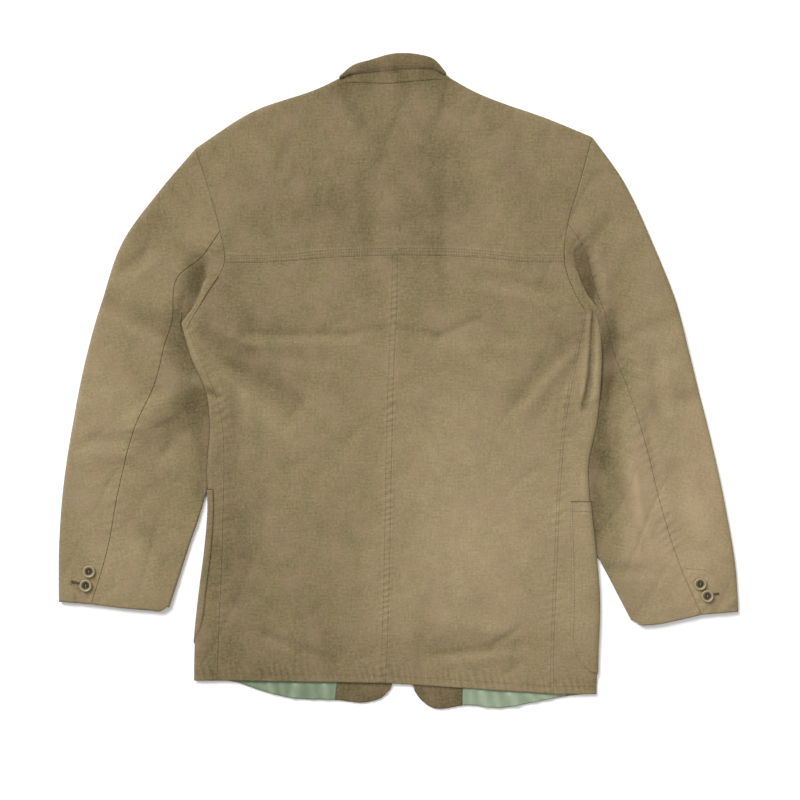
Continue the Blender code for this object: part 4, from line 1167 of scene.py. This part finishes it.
def build_sleeve(side):
    """Upper and under sleeve: a flattened tube from cuff to armhole, split along its two seams."""
    turn = -1 if side == "left" else 1
    outer_edge, back_seam, inner_edge = (sleeve_line(side, line) for line in ("outer", "seam", "inner"))
    arm = armhole_line(side, COLUMN_FINE)[::-1]
    split = UPPER_COLUMNS * COLUMN_FINE
    cap = resampled(arm[: split + 1], split, start=SIDE_ROLL)
    pit = resampled(arm[split:], len(arm) - 1 - split, finish=2 * INNER_ROLL)
    floor_hole = front_armhole(side, FLOOR_FINE)[::-1]
    floor_hole = resampled(floor_hole, len(floor_hole) - 1, finish=2 * INNER_ROLL)

    rows = np.arange(len(outer_edge))
    head = eased((rows - rows[-1]) / (2 * ROW_FINE) + 1)[:, None]
    way = (cap[0] - outer_edge[-1]) / SIDE_ROLL
    outer_in = normals(outer_edge, turn) * (1 - head) + way * head
    outer_radius = np.linspace(SLEEVE_ROLL, SIDE_ROLL, len(outer_edge))
    outer_start = outer_edge + outer_in * outer_radius[:, None]

    inner_in = normals(inner_edge, -turn)
    away = -turn * nearest(inner_edge, body_line(side + "_y", side + "_edge"))[0]
    beside = np.interp(rows / ROW_FINE, SNUG_ROWS, (0, 1, 1, 0))
    snug = (away + TUCKED_UNDER) * eased((SNUG[1] - away) / (SNUG[1] - SNUG[0])) * beside
    inner_edge = inner_edge - inner_in * snug[:, None]
    way = unit(pit[-1] - inner_edge[-1])
    inner_in = inner_in * (1 - head) + way * head
    inner_start = inner_edge + inner_in * INNER_ROLL
    inner_start[-1] = pit[-1]

    upper_plan = coons(np.linspace(outer_start[0], back_seam[0], split + 1), cap, outer_start, back_seam)
    under_cuff = spread((back_seam[0], *CUFF_LINE[side], inner_start[0]), len(pit) - 1)
    under_plan = coons(under_cuff, pit, back_seam, inner_start)
    floor_columns = len(floor_hole) - 1
    floor_start, floor_end = outer_start.copy(), inner_start.copy()
    floor_start[-1], floor_end[-1] = floor_hole[0], floor_hole[-1]
    floor_cuff = spread((outer_start[0], back_seam[0], *CUFF_LINE[side], inner_start[0]), floor_columns)
    floor = lower(coons(floor_cuff, floor_hole, floor_start, floor_end), 0.0)

    flat = np.zeros(len(outer_edge))
    under = floor_columns - FLOOR_UNDER * FLOOR_FINE
    outer_roll = roll(outer_edge, outer_in, outer_radius, flat, upper_height(outer_start, "sleeve"))
    inner_roll = roll(inner_edge, inner_in, INNER_ROLL, flat, upper_height(inner_start, "sleeve"))
    over = joined([grid[:, under::-1] for grid in floor], outer_roll, upper(upper_plan, "sleeve"))
    beneath = joined(
        [grid[:, under:] for grid in floor],
        inner_roll,
        [grid[:, ::-1] for grid in upper(under_plan, "sleeve")],
    )
    for name, grids in (("upper_sleeve_", over), ("under_sleeve_", beneath)):
        cloth(name + side, [edged(*grids, turned=("low",), tucked=("end", "high"))], "sleeve")


def build_collar():
    """The collar's stand behind the neck and the fall that folds down over it; gives the fall's grid."""
    steps = [COLLAR_STEPS * COLUMN_FINE] * (len(COLLAR) - 1)
    edge = smooth([(row.x, row.edge_y) for row in COLLAR], steps)
    top = smooth([(row.x, row.top_y) for row in COLLAR], steps)
    seam = neck_seam()
    ends = seam[[0, -1], 0] + np.array([-STAND_REACH, STAND_REACH])
    across = np.interp(edge[:, 0], edge[[0, -1], 0], ends)
    neck = np.column_stack([across, np.interp(across, seam[:, 0], seam[:, 1])])
    radius = np.minimum(COLLAR_ROLL, 0.5 * (top - edge)[:, 1])
    start = top - np.column_stack([np.zeros(len(top)), radius])
    inward = np.tile((0.0, -1.0), (len(top), 1))
    neck_height = upper_height(neck, "body")
    low = neck_height - COLLAR_DROP
    share = np.linspace(0, 1, COLLAR_ROWS + 1)[None, :]
    stand_plan = np.linspace(neck, start, COLLAR_ROWS + 1, axis=1)
    stand_height = neck_height[:, None] * (1 - share) + (low + CLOTH)[:, None] * share
    stand = raised(stand_plan, stand_height), raised(stand_plan, stand_height - CLOTH)
    cloth("collar_stand", [edged(*stand, tucked=("start",))])

    fall_plan = np.linspace(start, edge, COLLAR_ROWS + 1, axis=1)
    under = (start[:, 1, None] - fall_plan[..., 1]) / (start - neck)[:, 1, None]
    clear = neck_height[:, None] * under + (low + CLOTH)[:, None] * (1 - under)
    fall_height = clear + SEAM_GAP + CLOTH + (COLLAR_DROP - 2 * CLOTH - SEAM_GAP) * (1 - share**2)
    thin = CLOTH * (1 - FALL_THINNING * share**FALL_POWER)
    fall_height = fall_height - CLOTH + thin
    fall = raised(fall_plan, fall_height), raised(fall_plan, fall_height - thin)
    bend = roll(top, inward, radius, low, fall_height[:, 0])
    foot = lower(start[:, None], low[:, None])
    grid = edged(*joined(foot, bend, fall), ("end", "low", "high"), ("end",), NARROW_TURN)
    cloth("collar_fall", [grid])
    return fall[0]


def build_leaves():
    """The lapels and collar leaves that lie hidden under the fronts."""
    for leaf in LEAVES:
        grids = lower(leaf_grid(leaf, *LEAF_FINE), 0.0)
        cloth(leaf.name, [edged(*grids, ALL_SIDES, depth=NARROW_TURN)], inside=INSIDE_SHADE_TONE)


def build_button(spot, size, seat, facing):
    """A horn button with a dish and two thread holes, facing 1 up or -1 down; gives its thread's path."""
    radius, height = size
    profile = np.array(BUTTON_PROFILE)
    stations = resampled(profile, BUTTON_RINGS)
    angles = 2 * math.pi * np.arange(BUTTON_SIDES) / BUTTON_SIDES
    across = stations[:, :1] * np.cos(angles)
    along = stations[:, :1] * np.sin(angles)
    up = np.repeat(stations[:, 1:], BUTTON_SIDES, axis=1)
    pale = eased((stations[:, :1] - RIM_FADE[0]) / (RIM_FADE[1] - RIM_FADE[0]))
    fade = np.repeat(pale, BUTTON_SIDES, axis=1)
    face = up > FACE_HEIGHT
    for sign in (-1, 1):
        gap = np.hypot(across, along - sign * HOLE_OFFSET)
        hole = eased((HOLE_SIZE - gap) / HOLE_RIM + 0.5) * face
        up = up - HOLE_DEPTH * hole
        # The thread holes are painted darker: painted shade.
        fade = fade - HOLE_SHADE * hole
    x, y = spot.x + radius * across, spot.y + radius * along
    places = np.stack([x, y, seat + facing * height * up], axis=-1)
    ring = np.concatenate([places, places[:, :1]], axis=1)
    fade = np.concatenate([fade, fade[:, :1]], axis=1).ravel()
    faces = grid_faces(*ring.shape[:2]).tolist()
    thing = mesh_object(spot.name + "_horn", ring.reshape(-1, 3), faces, fade, MATERIALS["horn"])
    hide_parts(spot.name)
    lift = seat + facing * height * THREAD_HEIGHT
    return np.array([(spot.x, spot.y + sign * radius * HOLE_OFFSET, lift) for sign in (-1, 1)])


def build_buttons():
    """Two buttons on each cuff, the three that close the front, and the thread that holds them."""
    around = np.linspace(0, 2 * math.pi, SEAT_POINTS)
    circle = CUFF_BUTTON[0] * np.column_stack([np.cos(around), np.sin(around)])
    threads = []
    for spot in CUFF_BUTTONS:
        seat = upper_height(circle + np.array((spot.x, spot.y)), "sleeve").max() + SEAM_GAP
        threads.append(build_button(spot, CUFF_BUTTON, seat, 1))
    for spot in FRONT_BUTTONS:
        threads.append(build_button(spot, FRONT_BUTTON, FRONT_BUTTON[1], -1))
    length = THREAD_SPAN * HOLE_OFFSET * CUFF_BUTTON[0]
    sewn("button_threads", threads, length, (length, THICK_THREAD), BUTTON_FADE)


def build_stitches(pockets, fall):
    """The topstitching, bar tacks, painted shadow lines along the pocket mouths, and buttonholes; gives
    the sewn meshes of each piece.
    """
    rows = {}
    for row in STITCH_ROWS:
        line = offset_line(SEAM_LINES[row.seam], row.offset)
        rows.setdefault(row.piece, []).append(on_cloth(line, row.layer))
    rows["collar_fall"] = [fall[COLLAR_STITCH_ENDS:-COLLAR_STITCH_ENDS, COLLAR_STITCH_COLUMN]]
    for side, bag in pockets.items():
        rows["pocket_" + side] = [bag[:, POCKET_STITCH_COLUMN], bag[-MOUTH_ROWS, SHOWN_COLUMN:]]
    for bar in BARS:
        line = np.array(((bar.x0, bar.y0), (bar.x1, bar.y1)), float)
        rows.setdefault(bar.piece, []).append(on_cloth(line, "sleeve"))
    sewings = {piece: [sewn("stitches_" + piece, paths)] for piece, paths in rows.items()}
    for side, bag in pockets.items():
        # A dark line of strokes along each pocket's mouth: the painted shadow of the mouth's gap.
        mouth = [bag[-1, SHOWN_COLUMN:]]
        stitches = sewn("mouth_shade_" + side, mouth, MOUTH_SHADE_STROKE[0], MOUTH_SHADE_STROKE, DARK_THREAD_AND_MOUTH_SHADE)
        sewings["pocket_" + side].append(stitches)
    for hole in BUTTONHOLES:
        line = np.linspace((hole.x0, hole.y0), (hole.x1, hole.y1), HOLE_STITCHES)
        across = normals(line, 1) * HOLE_STITCH / 2
        height = upper_height(line, "sleeve")
        paths = np.stack([raised(line - across, height), raised(line + across, height)], axis=1)
        size = (HOLE_STITCH, THICK_THREAD)
        stitches = sewn("buttonhole_" + hole.piece, paths, HOLE_STITCH, size, DARK_THREAD_AND_MOUTH_SHADE)
        sewings[hole.piece].append(stitches)
    return sewings


def shaded(name, settings):
    """A material, its nodes and its shader, with some sockets set."""
    material = bpy.data.materials.new(name)
    material.use_nodes = True
    shader = material.node_tree.nodes["Principled BSDF"]
    for socket, value in settings.items():
        shader.inputs[socket].default_value = value
    return material, material.node_tree, shader


def speckle(tree, size_x, size_y, detail):
    """Noise on the cloth's grain, with bumps of the given size in millimetres."""
    grain = tree.nodes.new("ShaderNodeUVMap")
    grain.uv_map = "grain"
    scale = tree.nodes.new("ShaderNodeMapping")
    scale.inputs["Scale"].default_value = (1 / (size_x * MM), 1 / (size_y * MM), 1)
    noise = tree.nodes.new("ShaderNodeTexNoise")
    noise.noise_dimensions = "2D"
    noise.inputs["Scale"].default_value = 1.0
    noise.inputs["Detail"].default_value = detail
    tree.links.new(grain.outputs["UV"], scale.inputs["Vector"])
    tree.links.new(scale.outputs["Vector"], noise.inputs["Vector"])
    return noise.outputs["Fac"]


def summed(tree, parts, base):
    """A base value or socket plus the swings of some noises about their middle, each with its weight."""
    total = base
    for socket, weight in parts:
        swing = tree.nodes.new("ShaderNodeMath")
        swing.operation = "MULTIPLY_ADD"
        swing.inputs[1].default_value = weight
        swing.inputs[2].default_value = -weight / 2
        tree.links.new(socket, swing.inputs[0])
        add = tree.nodes.new("ShaderNodeMath")
        add.operation = "ADD"
        tree.links.new(swing.outputs[0], add.inputs[1])
        if isinstance(total, float):
            add.inputs[0].default_value = total
        else:
            tree.links.new(total, add.inputs[0])
        total = add.outputs[0]
    return total


def ramped(tree, factor, tones):
    """Colours from the first to the last tone."""
    ramp = tree.nodes.new("ShaderNodeValToRGB")
    points = ramp.color_ramp.elements
    while len(points) < len(tones):
        points.new(0.5)
    for k, tone in enumerate(tones):
        points[k].position = k / (len(tones) - 1)
        points[k].color = (*tone, 1)
    tree.links.new(factor, ramp.inputs["Fac"])
    return ramp.outputs["Color"]


def blended(tree, share, first, second):
    """A mix of a colour socket with a fixed colour."""
    mix = tree.nodes.new("ShaderNodeMix")
    mix.data_type = "RGBA"
    tree.links.new(share, mix.inputs["Factor"])
    tree.links.new(first, mix.inputs["A"])
    mix.inputs["B"].default_value = (*second, 1)
    return mix.outputs["Result"]


def bumped(tree, shader, height, strength, distance):
    """Fine relief from a height socket; distance is in millimetres."""
    bump = tree.nodes.new("ShaderNodeBump")
    bump.inputs["Strength"].default_value = strength
    bump.inputs["Distance"].default_value = distance * MM
    tree.links.new(height, bump.inputs["Height"])
    tree.links.new(bump.outputs["Normal"], shader.inputs["Normal"])


def fade_and_shade_socket(tree):
    """The tone that each point of a mesh carries, painted light and shade included."""
    fade = tree.nodes.new("ShaderNodeAttribute")
    fade.attribute_name = "fade"
    return fade.outputs["Fac"]


def textured(name, settings, speckles, tones, roughness, bump=0.0, depth=0.0):
    """A material whose tone, roughness and relief swing with noises, with its nodes, shader and colour."""
    material, tree, shader = shaded(name, settings)
    noises = [speckle(tree, row.across, row.along, row.detail) for row in speckles]
    swings = {}
    for field in ("tone", "rough", "relief"):
        weights = [getattr(row, field) for row in speckles]
        swings[field] = [(noise, weight) for noise, weight in zip(noises, weights) if weight]
    colour = ramped(tree, summed(tree, swings["tone"], fade_and_shade_socket(tree)), tones)
    tree.links.new(colour, shader.inputs["Base Color"])
    tree.links.new(summed(tree, swings["rough"], roughness), shader.inputs["Roughness"])
    if swings["relief"]:
        bumped(tree, shader, summed(tree, swings["relief"], 0.5), bump, depth)
    return material, tree, shader, colour


def linen_material():
    """Plain-woven linen with slubs along warp and weft, mottled, toned by its faded places and by the
    painted light and shade in its tone, with pink areas.
    """
    settings = {"Specular IOR Level": 0.15, "Sheen Weight": 0.12, "Sheen Roughness": 0.5}
    material, tree, shader, colour = textured(
        "linen", settings, LINEN_SPECKLES, LINEN_TONES, roughness=0.86, bump=0.5, depth=0.5
    )
    blush = tree.nodes.new("ShaderNodeMapRange")
    for socket, value in BLUSH_RANGE.items():
        blush.inputs[socket].default_value = value
    tree.links.new(speckle(tree, *BLUSH_NOISE), blush.inputs["Value"])
    tree.links.new(blended(tree, blush.outputs["Result"], colour, LINEN_PINK), shader.inputs["Base Color"])
    return material


def satin_material():
    """Mint lining satin with a soft shine along its threads; its tone carries painted highlights on the
    folds.
    """
    settings = {"Specular IOR Level": 0.45, "Sheen Weight": 0.2, "Sheen Roughness": 0.35}
    return textured("satin", settings, SATIN_SPECKLES, MINT_TONES, roughness=0.42, bump=0.35, depth=0.6)[0]


def horn_material():
    """Polished horn, pale on the rim and dark in the dish, with painted shade in the thread holes."""
    settings = {"Specular IOR Level": 0.3, "Coat Weight": 0.08, "Coat Roughness": 0.3}
    return textured("horn", settings, HORN_SPECKLES, HORN_TONES, roughness=0.48, bump=0.15, depth=0.15)[0]


def thread_material():
    """Sewing thread in the linen's deeper colours, partly its own colour and partly painted shade of the
    needle holes.
    """
    settings = {"Specular IOR Level": 0.2, "Sheen Weight": 0.15}
    return textured("thread", settings, THREAD_SPECKLES, THREAD_AND_NEEDLE_SHADE_TONES, roughness=0.8)[0]


def build_stage():
    """Pale floor, soft light and the camera straight above."""
    mesh = bpy.data.meshes.new("floor")
    shape = bmesh.new()
    bmesh.ops.create_grid(shape, x_segments=FLOOR_CELLS, y_segments=FLOOR_CELLS, size=FLOOR_SIZE / 2)
    shape.to_mesh(mesh)
    shape.free()
    floor = bpy.data.objects.new("floor", mesh)
    floor.location.z = -FLOOR_DROP * MM
    bpy.context.scene.collection.objects.link(floor)
    material, tree, shader = shaded("floor", {"Roughness": 0.9, "Specular IOR Level": 0.1})
    noise = tree.nodes.new("ShaderNodeTexNoise")
    noise.inputs["Scale"].default_value = FLOOR_NOISE
    tree.links.new(ramped(tree, noise.outputs["Fac"], FLOOR_TONES), shader.inputs["Base Color"])
    mesh.materials.append(material)

    world = bpy.data.worlds.new("studio")
    world.use_nodes = True
    world.node_tree.nodes["Background"].inputs["Color"].default_value = (1.0, 1.0, 1.0, 1.0)
    world.node_tree.nodes["Background"].inputs["Strength"].default_value = SKY
    bpy.context.scene.world = world
    for lamp in LAMPS:
        light = bpy.data.lights.new(lamp.name, "AREA")
        light.energy = lamp.power
        light.size = lamp.size
        holder = bpy.data.objects.new(lamp.name, light)
        holder.location = (lamp.x, lamp.y, lamp.z)
        holder.rotation_euler = (-holder.location).to_track_quat("-Z", "Y").to_euler()
        bpy.context.scene.collection.objects.link(holder)

    camera = bpy.data.cameras.new("camera")
    camera.lens = CAMERA_LENS
    viewer = bpy.data.objects.new("camera", camera)
    viewer.location = CAMERA_SPOT
    bpy.context.scene.collection.objects.link(viewer)
    bpy.context.scene.camera = viewer
    bpy.context.scene.view_settings.view_transform = "Standard"


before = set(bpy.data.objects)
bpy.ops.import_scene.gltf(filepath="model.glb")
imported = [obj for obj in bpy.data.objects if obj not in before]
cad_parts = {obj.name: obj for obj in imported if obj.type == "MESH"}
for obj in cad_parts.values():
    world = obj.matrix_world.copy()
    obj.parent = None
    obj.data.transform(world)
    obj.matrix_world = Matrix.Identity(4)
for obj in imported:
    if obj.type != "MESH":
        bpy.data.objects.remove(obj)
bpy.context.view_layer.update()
SEAM_LINES = {
    "yoke": np.vstack([spread(YOKE_SEAM["left"], YOKE_STEPS), spread(YOKE_SEAM["right"], YOKE_STEPS)[1:]]),
    "middle": np.vstack([body_line("mid_y", "mid", SEAM_FINE), YOKE_SEAM["left"][-1:]]),
    "left side": body_line("left_y", "left_seam", SEAM_FINE)[::-1],
    "right side": body_line("right_y", "right_seam", SEAM_FINE),
    "hem": hem_line() + np.array((0, HEM_STITCH)),
    "left sleeve": sleeve_line("left", "seam", SEAM_FINE),
    "right sleeve": sleeve_line("right", "seam", SEAM_FINE),
}
MATERIALS = {
    "linen": linen_material(),
    "satin": satin_material(),
    "horn": horn_material(),
    "thread": thread_material(),
}
build_stage()
build_yoke()
bags = {}
for half in ("left", "right"):
    build_back(half)
    sides = front_sides(half)
    build_front(half, *sides)
    bags[half] = build_pocket(half, *sides)
    build_linings(half)
    build_sleeve(half)
collar_fall = build_collar()
build_leaves()
build_buttons()
stitching = build_stitches(bags, collar_fall)
